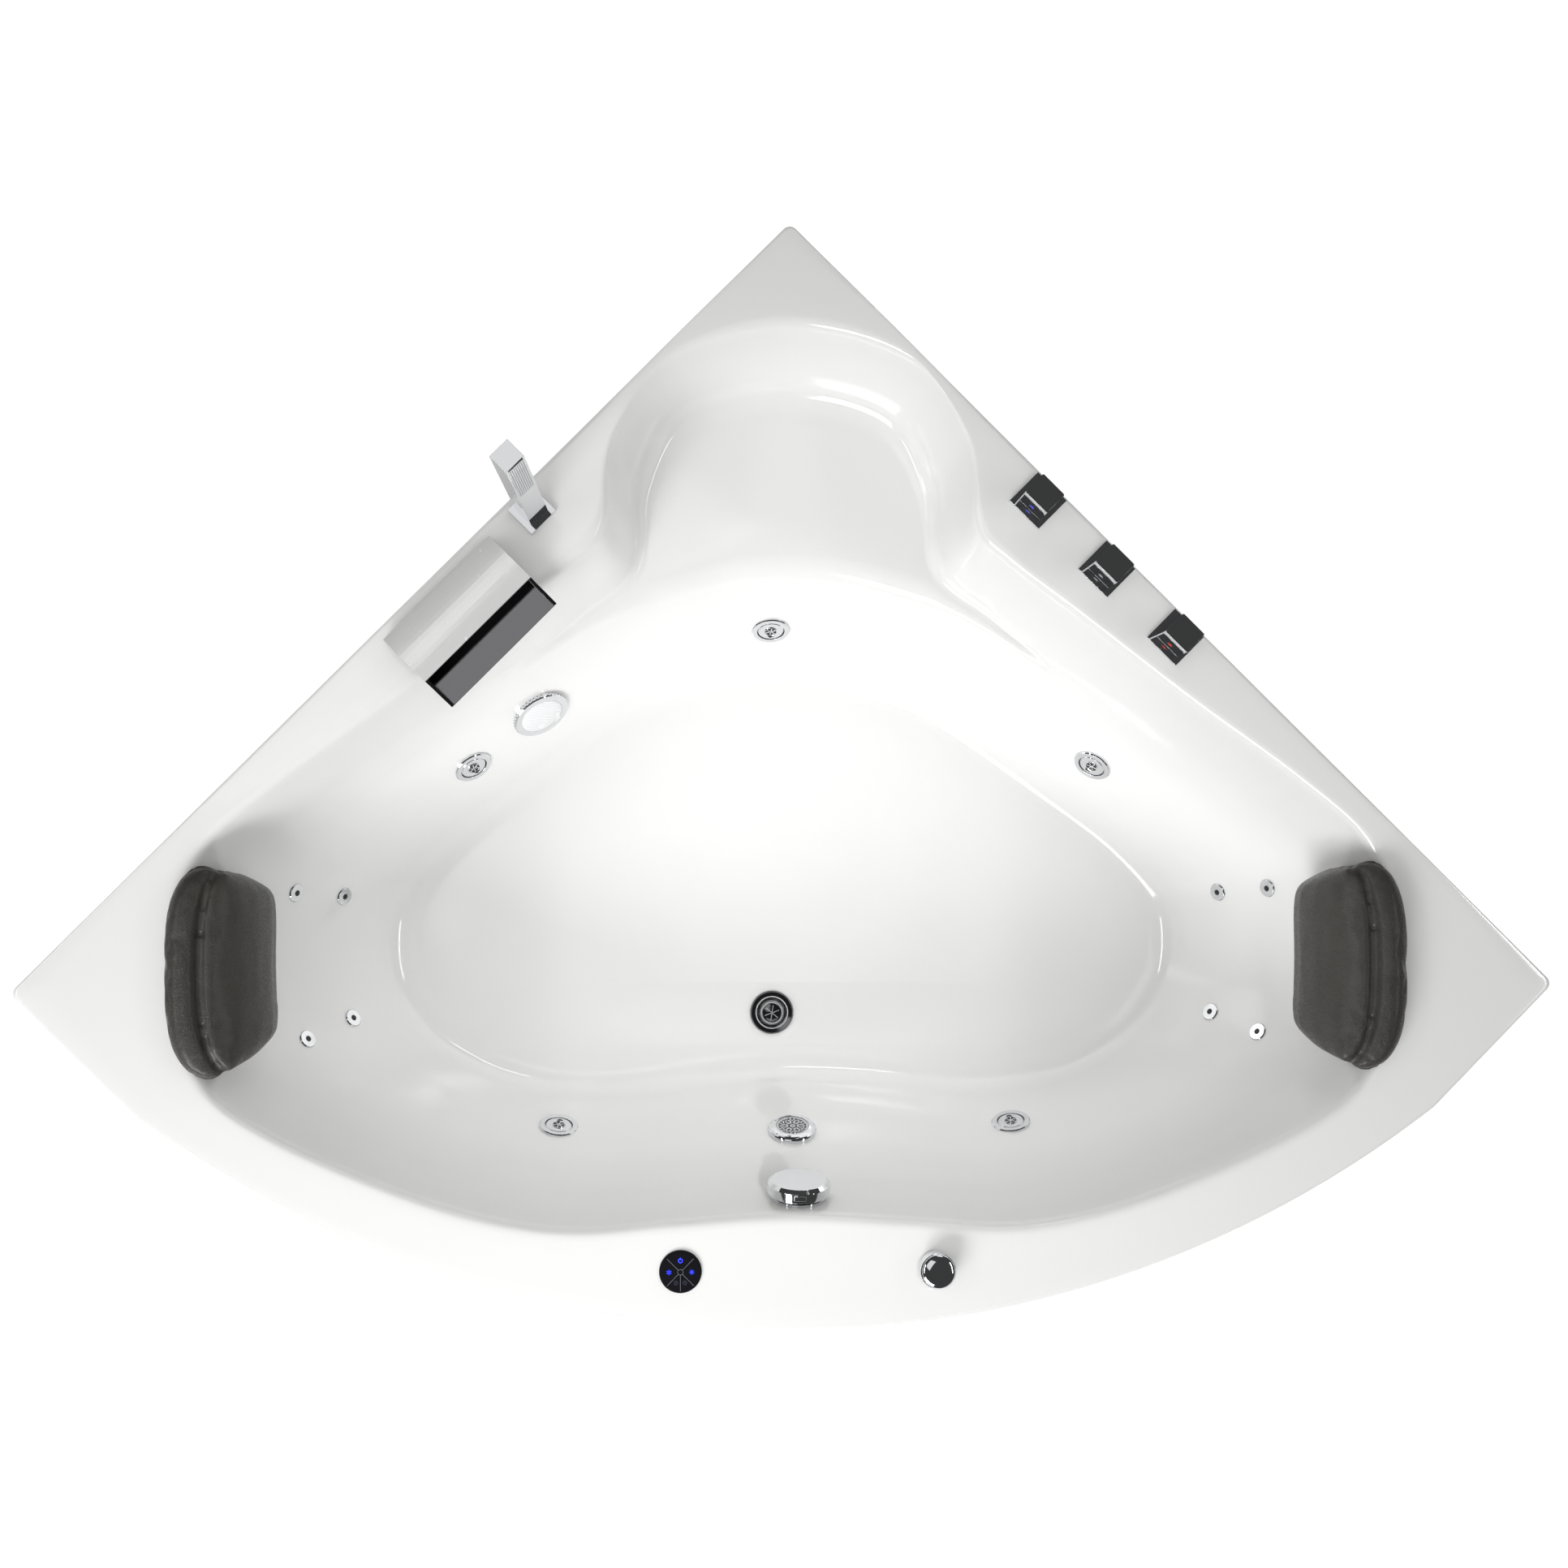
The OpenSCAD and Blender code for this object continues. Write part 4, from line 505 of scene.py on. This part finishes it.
class Parts:
    # Collects closed bits, each placed by a matrix, into one mesh
    def __init__(self):
        self.vertices, self.faces = [], []

    def add(self, vertices, faces, place):
        base = len(self.vertices)
        self.vertices += [place @ Vector(v) for v in vertices]
        self.faces += [tuple(base + i for i in face) for face in faces]

    def prism(self, points, low, high, place):
        n = len(points)
        vertices = [(x, y, low) for x, y in points] + [(x, y, high) for x, y in points]
        faces = [tuple(range(n - 1, -1, -1)), tuple(range(n, 2 * n))]
        faces += [(i, (i + 1) % n, n + (i + 1) % n, n + i) for i in range(n)]
        self.add(vertices, faces, place)

    def lathe(self, points, place, count):
        rings = len(points)
        vertices = [(*around(r, 360 * i / count), z) for i in range(count) for r, z in points]
        faces = []
        for i in range(count):
            a, b = i * rings, (i + 1) % count * rings
            faces += [(a + j, b + j, b + (j + 1) % rings, a + (j + 1) % rings) for j in range(rings)]
        self.add(vertices, faces, place)

    def ring(self, inner, outer, low, high, place, count):
        self.lathe([(inner, low), (outer, low), (outer, high), (inner, high)], place, count)

    def dome(self, radius, height, place, count, rings=2):
        turns = [math.radians(domeEdge * i / rings) for i in range(rings + 1)]
        rim = [(radius * math.cos(a), height * math.sin(a) / math.sin(turns[-1])) for a in turns]
        vertices = [(*around(r, 360 * i / count), z) for r, z in rim for i in range(count)]
        faces = [tuple(range(count - 1, -1, -1)), tuple(range(rings * count, (rings + 1) * count))]
        for level in range(rings):
            a, b = level * count, (level + 1) * count
            faces += [(a + i, a + (i + 1) % count, b + (i + 1) % count, b + i) for i in range(count)]
        self.add(vertices, faces, place)

    def strip(self, start, end, width, low, high, place):
        a, b = Vector(start), Vector(end)
        off = (b - a).normalized().orthogonal() * width / 2
        self.prism([a - off, b - off, b + off, a + off], low, high, place)

    def spokes(self, turns, inner, outer, width, low, high, place):
        for degrees in turns:
            self.strip(around(inner, degrees), around(outer, degrees), width, low, high, place)

    def make(self, name, body, slot, mat, smooth=False):
        return piece(name, self.vertices, self.faces, body, mat, smooth)


# Tub shell

drain = {"x": -0.012 * side, "y": -0.053 * side, "hole": 0.034, "dishR": 0.049, "dishDepth": 0.0025,
         "lip": 0.004, "lipDrop": 0.002, "ledge": 0.006, "ledgeDrop": 0.004, "count": 64}


def makeTub():
    marks = [0, arcEnd, cornerStart, cornerStop, apexStart, lastStation]
    half = [u for start, end, count in zip(marks, marks[1:], tub["columnCounts"])
            for u in steps(start, end, count)]
    columns = [profile(u) for u in half + [lastStation]]
    columns += [[Vector((-p.x, p.y, p.z)) for p in column] for column in columns[-2:0:-1]]
    count, rings = len(columns), len(columns[0])
    vertices = [p for column in columns for p in column]
    faces = []
    for i in range(count):
        a, b = i * rings, (i + 1) % count * rings
        faces += [(a + j, b + j, b + j + 1, a + j + 1) for j in range(rings - 1)]
    # The flat floor runs from the last ring to the dish round the drain
    outer = [i * rings + rings - 1 for i in range(count)]
    middle = Vector((drain["x"], drain["y"] - midY, floorZ))
    hole, sunk, n = drain["hole"], -drain["dishDepth"], drain["count"]
    levels = [(drain["dishR"], 0), (hole + drain["lip"], sunk), (hole, sunk - drain["lipDrop"]),
              (hole - drain["ledge"], sunk - drain["ledgeDrop"])]
    dish = []
    for radius, z in levels:
        dish.append(list(range(len(vertices), len(vertices) + n)))
        vertices += [middle + Vector((x, y, z)) for x, y in circle(radius, n)]
    loops = [[vertices[i] for i in outer], [vertices[i] for i in dish[0]]]
    index = outer + dish[0]
    faces += [tuple(index[i] for i in triangle) for triangle in tessellate_polygon(loops)]
    for a, b in zip(dish, dish[1:]):
        faces += [(a[i], a[(i + 1) % n], b[(i + 1) % n], b[i]) for i in range(n)]
    made = piece("tubShell", vertices, faces, "tub", looks["acrylic"])
    # The open sheet must face up before it is thickened downwards
    if sum(face.normal.z * face.area for face in made.data.polygons) < 0:
        made.data.flip_normals()
    made.data.materials.append(fibre)
    shell = made.modifiers.new("thickness", "SOLIDIFY")
    shell.thickness = tub["thickness"]
    shell.offset = -1
    shell.material_offset = 1
    shell.material_offset_rim = 0
    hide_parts("tub_shell")


makeTub()
print("tub done")


# Headrests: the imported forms, swollen as stuffed pads, with the crease pressed in after

rest = {
    "voxel": 0.004, "smoothing": 6, "start": 0.0015, "pressure": 4.0, "frames": 20, "quality": 5,
    "top": 0.005, "under": 0.0006, "upSlope": 2, "upStart": 0.4,
    "reach": 0.128, "samples": 300, "endShare": 0.3, "endIn": 0.33,
    "creaseIn": 0.24, "creaseDepth": 0.0055, "creaseW": 0.0055, "creaseDrop": 0.01,
    "fadeStart": 0.45, "fadeRun": 0.3,
    "rollUp": 0.003, "rollOut": 0.028, "rollW": 0.016, "rollRise": 0.012,
    "rimStrip": 0.004, "floor": 0.0004, "fill": 0.75,
}


def evaluated(obj):
    bpy.context.view_layer.update()
    done = obj.evaluated_get(bpy.context.evaluated_depsgraph_get())
    return bpy.data.meshes.new_from_object(done)


def points(mesh):
    flat = np.empty(len(mesh.vertices) * 3)
    mesh.vertices.foreach_get("co", flat)
    return flat.reshape(-1, 3)


def setPoints(mesh, where):
    mesh.vertices.foreach_set("co", np.asarray(where, float).ravel())
    mesh.update()


def normals(mesh):
    flat = np.empty(len(mesh.vertices) * 3)
    mesh.vertex_normals.foreach_get("vector", flat)
    return flat.reshape(-1, 3)


def swell(obj, before):
    cloth = obj.modifiers.new("swell", "CLOTH")
    cloth.settings.use_pressure = True
    cloth.settings.uniform_pressure_force = rest["pressure"]
    cloth.settings.effector_weights.gravity = 0
    cloth.settings.quality = rest["quality"]
    cloth.point_cache.frame_start = 1
    cloth.point_cache.frame_end = rest["frames"]
    for at in range(1, rest["frames"] + 1):
        scene.frame_set(at)
    swollen = points(evaluated(obj))
    obj.modifiers.remove(cloth)
    scene.frame_set(1)
    # The top may rise more than the underside, which lies on the tub
    move = swollen - before
    length = np.linalg.norm(move, axis=1, keepdims=True)
    upward = np.clip(normals(obj.data)[:, 2:3] * rest["upSlope"] + rest["upStart"], 0, 1)
    limit = rest["under"] + (rest["top"] - rest["under"]) * upward
    return before + move * np.minimum(1, limit / np.maximum(length, 1e-9))


# Presses the crease between the roll and the pad, along the mouth, and lifts the roll beside it
def crease(where, outwards):
    curve = np.array([spline(mouthPoints, mix(arcEnd - 1, seatStation - 2, i / rest["samples"]))
                      for i in range(rest["samples"] + 1)])
    ends = where[:, 1].min(), where[:, 1].max()
    outside = np.stack([np.abs(where[:, 0]), where[:, 1]], 1)
    gap = outside[:, None, :] - curve[None, :, :2]
    nearest = np.argmin((gap ** 2).sum(2), 1)
    inward = np.sqrt((gap ** 2).sum(2).min(1)) * np.where(outside[:, 0] < curve[nearest, 0], 1, -1)
    t = (where[:, 1] - sum(ends) / 2) / (ends[1] - ends[0]) * 2
    size = rest["endShare"] + (1 - rest["endShare"]) * np.sqrt(np.clip(1 - np.abs(t) ** 4, 0, 1))
    target = rest["reach"] * (rest["endIn"] + (rest["creaseIn"] - rest["endIn"]) * size)
    ease = np.clip((size - rest["fadeStart"]) / rest["fadeRun"], 0, 1)
    up = where[:, 2] - rimZ
    dent = np.exp(-((inward - target) / rest["creaseW"]) ** 2) * (up > -rest["creaseDrop"])
    roll = np.exp(-((inward - target + rest["rollOut"]) / rest["rollW"]) ** 2) * (up > rest["rollRise"])
    lift = (rest["rollUp"] * roll - rest["creaseDepth"] * dent) * ease
    where = where + lift[:, None] * outwards
    over = inward < rest["rimStrip"]
    where[over, 2] = np.maximum(where[over, 2], rimZ + rest["floor"])
    return where


def makeHeadrest(name, node, body):
    welded = weldedMesh(node)
    mesh = bpy.data.meshes.new(name)
    welded.to_mesh(mesh)
    welded.free()
    made = bpy.data.objects.new(name, mesh)
    scene.collection.objects.link(made)
    remesh = made.modifiers.new("remesh", "REMESH")
    remesh.mode = "VOXEL"
    remesh.voxel_size = rest["voxel"]
    made.data = evaluated(made)
    made.modifiers.clear()
    even = made.modifiers.new("even", "SMOOTH")
    even.iterations = rest["smoothing"]
    made.data = evaluated(made)
    made.modifiers.clear()
    made.data.update()
    setPoints(made.data, points(made.data) - rest["start"] * normals(made.data))
    setPoints(made.data, swell(made, points(made.data)))
    setPoints(made.data, crease(points(made.data), normals(made.data)))
    finer = made.modifiers.new("finer", "SUBSURF")
    finer.levels = finer.render_levels = 1
    made.data.materials.clear()
    made.data.materials.append(looks["headrest"])
    made.data.shade_smooth()
    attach(made, body)
    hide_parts(node)


makeHeadrest("headrestRightPad", "headrest_right", "right_headrest")
makeHeadrest("headrestLeftPad", "headrest_left", "left_headrest")
print("headrests done")


# Coloured dots on the taps, on the faces that look into the tub

tap = {"first": 0.517, "pitch": 0.134, "inward": 0.033, "depth": 0.035, "sink": 0.0002,
       "dotR": 0.0045, "dotUp": 0.0008, "dotZ": 0.022, "count": 24, "roughness": 0.25, "coat": 0.8}
dotColors = {"cold": (0.02, 0.05, 0.6), "diverter": (0.3, 0.31, 0.33), "hot": (0.6, 0.02, 0.02)}


def makeTapDots():
    forwards = Matrix.Rotation(-math.pi / 2, 4, "X")
    face = Matrix.Translation((0, tap["depth"] / 2 - tap["sink"], tap["dotZ"])) @ forwards
    for k, (name, color) in enumerate(dotColors.items()):
        at = rightRim(tap["first"] + k * tap["pitch"], tap["inward"])
        dots = Parts()
        dots.dome(tap["dotR"], tap["dotUp"], at @ face, tap["count"])
        paint = plasticMaterial(name + "Dot", color, tap["roughness"], Coat_Weight=tap["coat"])
        dots.make(name + "Mark", name + "_tap", "chrome", paint, True)


makeTapDots()


# Touch panel: lines between its five fields and a generic icon in each. Pairs are an inner and an
# outer radius, and the third number is a width.

touch = {
    "x": -0.103 * side, "y": -0.255 * side, "top": 0.005, "sink": 0.0003, "rise": 0.0002, "count": 24,
    "line": (0.004, 0.025705, 0.0005), "lineTurns": (45, 135, 225, 270, 315), "middleRing": (0.0035, 0.004),
    "iconR": 0.0155, "iconTurns": (90, 180, 247, 293, 0), "glow": 1.6,
    "bubble": (0.0022, 0.0032), "stem": (0.0008, 0.0042, 0.0009),
    "star": (0.0008, 0.0036, 0.0008), "starTurns": range(30, 390, 60),
    "lampR": 0.0017, "lampCount": 20, "lampRays": (0.0024, 0.0036, 0.0006), "rayTurns": range(0, 360, 45),
    "offRing": (0.0022, 0.0028), "offBar": (-0.0012, 0.0012, 0.0006),
}


def makeTouch():
    at = rimPlace(touch["x"], touch["y"])
    low, high = touch["top"] - touch["sink"], touch["top"] + touch["rise"]
    bubble, star, firstOff, secondOff, lamp = (
        at @ Matrix.Translation((*around(touch["iconR"], degrees), 0)) for degrees in touch["iconTurns"])
    lines, lit, unlit = Parts(), Parts(), Parts()
    lines.spokes(touch["lineTurns"], *touch["line"], low, high, at)
    lines.ring(*touch["middleRing"], low, high, at, touch["count"])
    lit.ring(*touch["bubble"], low, high, bubble, touch["count"])
    lit.spokes([90], *touch["stem"], low, high, bubble)
    lit.spokes(touch["starTurns"], *touch["star"], low, high, star)
    lit.prism(circle(touch["lampR"], touch["lampCount"]), low, high, lamp)
    lit.spokes(touch["rayTurns"], *touch["lampRays"], low, high, lamp)
    for spot in (firstOff, secondOff):
        unlit.ring(*touch["offRing"], low, high, spot, touch["count"])
        unlit.spokes([0], *touch["offBar"], low, high, spot)
    lineLook = plasticMaterial("touchLine", (0.16, 0.17, 0.19), 0.3)
    unlitLook = plasticMaterial("touchOff", (0.05, 0.06, 0.09), 0.3)
    litLook = glowMaterial("touchGlow", (0.02, 0.04, 1.0), touch["glow"])
    lines.make("touchLines", "tub", "touch_glass", lineLook)
    unlit.make("touchIconsOff", "tub", "touch_glass", unlitLook)
    lit.make("touchIconsLit", "tub", "touch_glass", litLook)


makeTouch()


# Hand shower: rubber nozzles on the face

hand = {"first": 0.537, "inward": 0.034, "w": 0.031, "length": 0.255, "lean": 0.014, "tilt": 0.012,
        "share": 0.45, "edge": 0.003, "proud": 0.0012, "plateH": 0.005,
        "columns": 8, "rows": 34, "sideGaps": 0.004, "topGap": 0.0025, "endGaps": 0.005,
        "nozzleR": 0.0008, "nozzleUp": 0.0007, "nozzleCount": 8}


def makeHandset():
    at = leftRim(hand["first"], hand["inward"])
    top = hand["plateH"] + hand["length"]
    plane = (at @ Matrix.Translation((-hand["tilt"], hand["w"] / 2 - hand["lean"], top))
             @ Matrix.Rotation(math.atan(hand["lean"] / hand["length"]), 4, "X")
             @ Matrix.Rotation(-math.atan(hand["tilt"] / hand["length"]), 4, "Y"))
    outwards = Matrix.Rotation(-math.pi / 2, 4, "X")
    wide = hand["w"] - 2 * hand["edge"] - hand["sideGaps"]
    tall = hand["share"] * hand["length"] - hand["edge"] - hand["endGaps"]
    nozzles = Parts()
    for i in range(hand["columns"]):
        for j in range(hand["rows"]):
            x = (i / (hand["columns"] - 1) - 0.5) * wide
            z = -hand["edge"] - hand["topGap"] - j / (hand["rows"] - 1) * tall
            spot = plane @ Matrix.Translation((x, hand["proud"], z)) @ outwards
            nozzles.dome(hand["nozzleR"], hand["nozzleUp"], spot, hand["nozzleCount"])
    nozzles.make("handsetNozzles", "hand_shower", "plastic_grey",
                 plasticMaterial("nozzleRubber", (0.33, 0.34, 0.35), 0.45), True)


makeHandset()


# Light, jets, suction, drain and air knob: the small things that show in their chrome

overTub = np.array([0, -0.1, 0.6])  # chrome faces point towards this spot


def axesOf(node):
    # Each solid of the node as a place whose z axis is its own, at its face
    welded = weldedMesh(node)
    reached, found = set(), []
    for first in welded.verts:
        if first in reached:
            continue
        reached.add(first)
        group, waiting = [], [first]
        while waiting:
            v = waiting.pop()
            group.append(v)
            for e in v.link_edges:
                w = e.other_vert(v)
                if w not in reached:
                    reached.add(w)
                    waiting.append(w)
        spots = np.array(sorted(tuple(v.co) for v in group))
        middle = (spots.min(0) + spots.max(0)) / 2
        values, vectors = np.linalg.eigh(np.cov((spots - spots.mean(0)).T))
        axis = vectors[:, 2] if values[1] - values[0] < values[2] - values[1] else vectors[:, 0]
        if np.dot(axis, overTub - middle) < 0:
            axis = -axis
        near = spots.mean(0)
        found.append(facing(Vector(near + axis * ((spots - near) @ axis).max()), axis))
    welded.free()
    return found


light = {"r": 0.045, "sink": 0.0001, "rowDrops": (0.0054, 0.0024), "holes": 44, "holeR": 0.0011,
         "holeUp": 0.0003, "count": 8}


def makeLightHoles():
    # Two rows of holes round the collar, as dark domes of painted shade
    at = axesOf("light_ring")[0]
    outwards = Matrix.Rotation(math.pi / 2, 4, "Y")
    holes = Parts()
    for row, drop in enumerate(light["rowDrops"]):
        for i in range(light["holes"]):
            turn = Matrix.Rotation(2 * math.pi * (i + row / 2) / light["holes"], 4, "Z")
            spot = at @ turn @ Matrix.Translation((light["r"] - light["sink"], 0, -drop)) @ outwards
            holes.dome(light["holeR"], light["holeUp"], spot, light["count"])
    holes.make("lightHoles", "tub", "chrome", darkInk)


jet = {
    "faceUp": 0.0034, "nozzleR": 0.0205, "gap": 0.001, "clear": 0.0001, "gapLow": 0.0025, "gapHigh": 0.0012,
    "gapCount": 48, "hubR": 0.0105, "hubSink": 0.0002, "hubEdge": 0.0006, "hubUp": 0.0014, "hubIn": 0.0008,
    "hubCount": 40, "eyeR": 0.0088, "eyeOver": 0.0002, "eyeHalf": 0.0003, "eyeCount": 32,
    "webTurns": (20, 80, 140), "webOver": 0.0003, "webW": 0.0014, "webUp": 0.0007,
    "portR": 0.0042, "portOut": 0.012, "portLow": 0.002, "portHigh": 0.001, "portCount": 24,
}


def makeJets():
    gapRing = Parts()
    face, hubR, eyeR = jet["faceUp"], jet["hubR"], jet["eyeR"]
    inner, outer = jet["nozzleR"] + jet["clear"], jet["nozzleR"] + jet["gap"] - jet["clear"]
    reach = eyeR + jet["webOver"]
    hubOutline = [(eyeR, face - jet["hubSink"]), (hubR, face - jet["hubSink"]), (hubR, face + jet["hubEdge"]),
                  (hubR - jet["hubEdge"], face + jet["hubUp"]), (eyeR, face + jet["hubIn"])]
    eye = circle(eyeR + jet["eyeOver"], jet["eyeCount"])
    port = circle(jet["portR"], jet["portCount"], (0, -jet["portOut"]))
    for joint in frame["joints"]:
        if not joint["name"].endswith("_nozzle_turn"):
            continue
        at = facing(joint["pos_m"], joint["axis"])
        # Painted shade: a dark ring in the gap round the nozzle
        gapRing.ring(inner, outer, face - jet["gapLow"], face - jet["gapHigh"], at, jet["gapCount"])
        hub, eyes = Parts(), Parts()
        hub.lathe(hubOutline, at, jet["hubCount"])
        hub.spokes(jet["webTurns"], reach, -reach, jet["webW"], face, face + jet["webUp"], at)
        # Painted shade: dark discs over the nozzle's eye and its port
        eyes.prism(eye, face - jet["eyeHalf"], face + jet["eyeHalf"], at)
        eyes.prism(port, face - jet["portLow"], face - jet["portHigh"], at)
        name = joint["child"].replace("_nozzle", "")
        hub.make(name + "JetHub", joint["child"], "chrome", looks["chrome"])
        eyes.make(name + "JetEyes", joint["child"], "chrome", darkInk)
    gapRing.make("jetGaps", "tub", "chrome", darkInk)


backJet = {"eyeR": 0.0046, "eyeUp": 0.0005, "lift": 0.00005, "count": 24}


def makeBackJetEyes():
    # Painted shade: dark domes over the back jets' openings
    eyes = Parts()
    for node in ("back_jets_left", "back_jets_right"):
        for at in axesOf(node):
            spot = at @ Matrix.Translation((0, 0, backJet["lift"]))
            eyes.dome(backJet["eyeR"], backJet["eyeUp"], spot, backJet["count"])
    eyes.make("backJetEyes", "tub", "chrome", darkInk, True)


suction = {"rings": 5, "perRing": 6, "pitch": 0.0051, "holeR": 0.0015, "holeUp": 0.0005, "sink": 0.0002,
           "count": 10}


def makeSuctionHoles():
    at = axesOf("suction_grille")[0]
    # Painted shade: dark domes stand in for the grille's holes
    holes = Parts()
    for ring in range(suction["rings"]):
        for x, y in circle(ring * suction["pitch"], max(1, ring * suction["perRing"])):
            spot = at @ Matrix.Translation((x, y, -suction["sink"]))
            holes.dome(suction["holeR"], suction["holeUp"], spot, suction["count"])
    holes.make("suctionHoles", "tub", "chrome", darkInk)


plug = {"barTurns": (20, 80, 140), "barR": 0.0125, "barW": 0.0012, "barLow": -0.0012, "barHigh": 0.0003,
        "ring": [(0.0158, -0.0022), (0.018, -0.0022), (0.018, -0.0008), (0.0158, -0.0002)], "ringCount": 48,
        "flange": [(0.0243, -0.002), (0.0268, -0.002), (0.0264, 0.0004), (0.0255, 0.0008), (0.0247, 0.0004)],
        "flangeCount": 64}


def makePlugRelief():
    # Three bars across and a ring round them, as in the cast cap
    at = axesOf("drain_plug")[0]
    relief = Parts()
    reach, low, high = plug["barR"], plug["barLow"], plug["barHigh"]
    relief.spokes(plug["barTurns"], reach, -reach, plug["barW"], low, high, at)
    relief.lathe(plug["ring"], at, plug["ringCount"])
    # Painted reflection: the bars and ring take the greyer copy of chrome, and the drain ring the lighter one
    relief.make("plugRelief", "plug", "chrome", nozzleChrome)
    ring = Parts()
    ring.lathe(plug["flange"], axesOf("drain_flange")[0], plug["flangeCount"])
    ring.make("drainRing", "tub", "chrome", brightChrome, True)


knob = {"r": 0.0225, "height": 0.006, "sink": 0.0002, "count": 64, "rings": 10}


def makeKnobTop():
    at = axesOf("air_knob")[0] @ Matrix.Translation((0, 0, -knob["sink"]))
    top = Parts()
    top.dome(knob["r"], knob["height"], at, knob["count"], knob["rings"])
    top.make("airKnobTop", "air_control", "chrome", looks["chrome"], True)


makeLightHoles()
makeJets()
makeBackJetEyes()
makeSuctionHoles()
makePlugRelief()
makeKnobTop()
print("small pieces done")


# Floor, light and camera

studio = {"floorReach": 9, "floorColor": (0.86, 0.86, 0.86), "floorLift": 0.62,
          "lightFromAll": (0.42, 0.42, 0.42), "seen": (1.0, 1.0, 1.0), "mirrored": (0.05, 0.05, 0.05)}


def softFloor():
    mat, shader, at = newMaterial("paleFloor", studio["floorColor"], 0.9)
    link(mat, spread(mat, noise(mat, at, scale=3.0), low=0.85, high=0.95), shader.inputs["Roughness"])
    bump(mat, shader, noise(mat, at, scale=40.0), strength=0.02, distance=0.001)
    # A lift that only the camera sees keeps the floor white
    rays = addNode(mat, "LightPath")
    shader.inputs["Emission Color"].default_value = (1, 1, 1, 1)
    lift = addNode(mat, "Math")
    lift.operation = "MULTIPLY"
    lift.inputs[1].default_value = studio["floorLift"]
    link(mat, rays.outputs["Is Camera Ray"], lift.inputs[0])
    link(mat, lift.outputs["Value"], shader.inputs["Emission Strength"])
    mesh = bpy.data.meshes.new("floor")
    far = studio["floorReach"]
    mesh.from_pydata([(-far, -far, 0), (far, -far, 0), (far, far, 0), (-far, far, 0)], [], [(0, 1, 2, 3)])
    floor = bpy.data.objects.new("floor", mesh)
    scene.collection.objects.link(floor)
    mesh.materials.append(mat)


# White to the camera, grey as a light, nearly black in reflections
def makeWorld():
    world = bpy.data.worlds.new("studio")
    scene.world = world
    world.use_nodes = True
    rays = addNode(world, "LightPath")
    seen = twoColors(world, rays.outputs["Is Camera Ray"], studio["lightFromAll"], studio["seen"])
    color = twoColors(world, rays.outputs["Is Glossy Ray"], seen, studio["mirrored"])
    link(world, color, world.node_tree.nodes["Background"].inputs["Color"])


softFloor()
makeWorld()

# Place, target, width, height and power
softboxes = {
    "keyBox": ((-1.5, -2.9, 2.5), (0, 0, 0.5), 2.4, 1.4, 108),
    "ceilingBox": ((-1.4, 0.9, 5.0), (-0.4, 0.2, 0.6), 2.2, 2.2, 12),
    "backBox": ((0.9, 3.0, 2.4), (0, 0, 0.4), 1.6, 0.2, 8),
    "leftStrip": ((-2.8, -0.2, 2.95), (-0.8, -0.2, 0.6), 2.0, 0.25, 12),
    "rightStrip": ((2.8, -0.2, 2.95), (0.8, -0.2, 0.6), 2.0, 0.25, 12),
}
# A soft pool of light fills the basin, unseen in reflections
pool = {"place": (0.35, -0.2, 3.2), "target": (-0.12, -0.32, 0.3), "power": 118, "cone": 38, "blend": 0.9,
        "soft": 0.6}


def hang(lamp, place, target):
    made = bpy.data.objects.new(lamp.name, lamp)
    scene.collection.objects.link(made)
    made.location = place
    made.rotation_euler = (Vector(target) - Vector(place)).to_track_quat("-Z", "Y").to_euler()
    return made


for name, (place, target, width, height, power) in softboxes.items():
    lamp = bpy.data.lights.new(name, "AREA")
    lamp.shape = "RECTANGLE"
    lamp.size, lamp.size_y = width, height
    lamp.energy = power
    hang(lamp, place, target)

spot = bpy.data.lights.new("basinPool", "SPOT")
spot.energy = pool["power"]
spot.spot_size, spot.spot_blend = math.radians(pool["cone"]), pool["blend"]
spot.shadow_soft_size = pool["soft"]
hang(spot, pool["place"], pool["target"]).visible_glossy = False

# The photo's camera, as fitted to it; pixels and focal length are in pixels, tilts in degrees
photo = {"pixels": 1932, "focal": 2065.2, "place": (-0.0869, -0.07258, 2.951),
         "tilt": (-1.482, 1.882, 0.209), "sensor": 36.0}
lens = bpy.data.cameras.new("camera")
camera = bpy.data.objects.new("camera", lens)
scene.collection.objects.link(camera)
lens.sensor_width = photo["sensor"]
lens.lens = photo["focal"] / photo["pixels"] * photo["sensor"]
lens.dof.use_dof = False
turnX, turnY, turnZ = (Matrix.Rotation(math.radians(a), 3, axis) for a, axis in zip(photo["tilt"], "XYZ"))
toCamera = turnX @ turnY @ turnZ
camera.matrix_world = Matrix.Translation(photo["place"]) @ toCamera.transposed().to_4x4()
scene.camera = camera
scene.view_settings.view_transform = "Standard"

print("scene done")
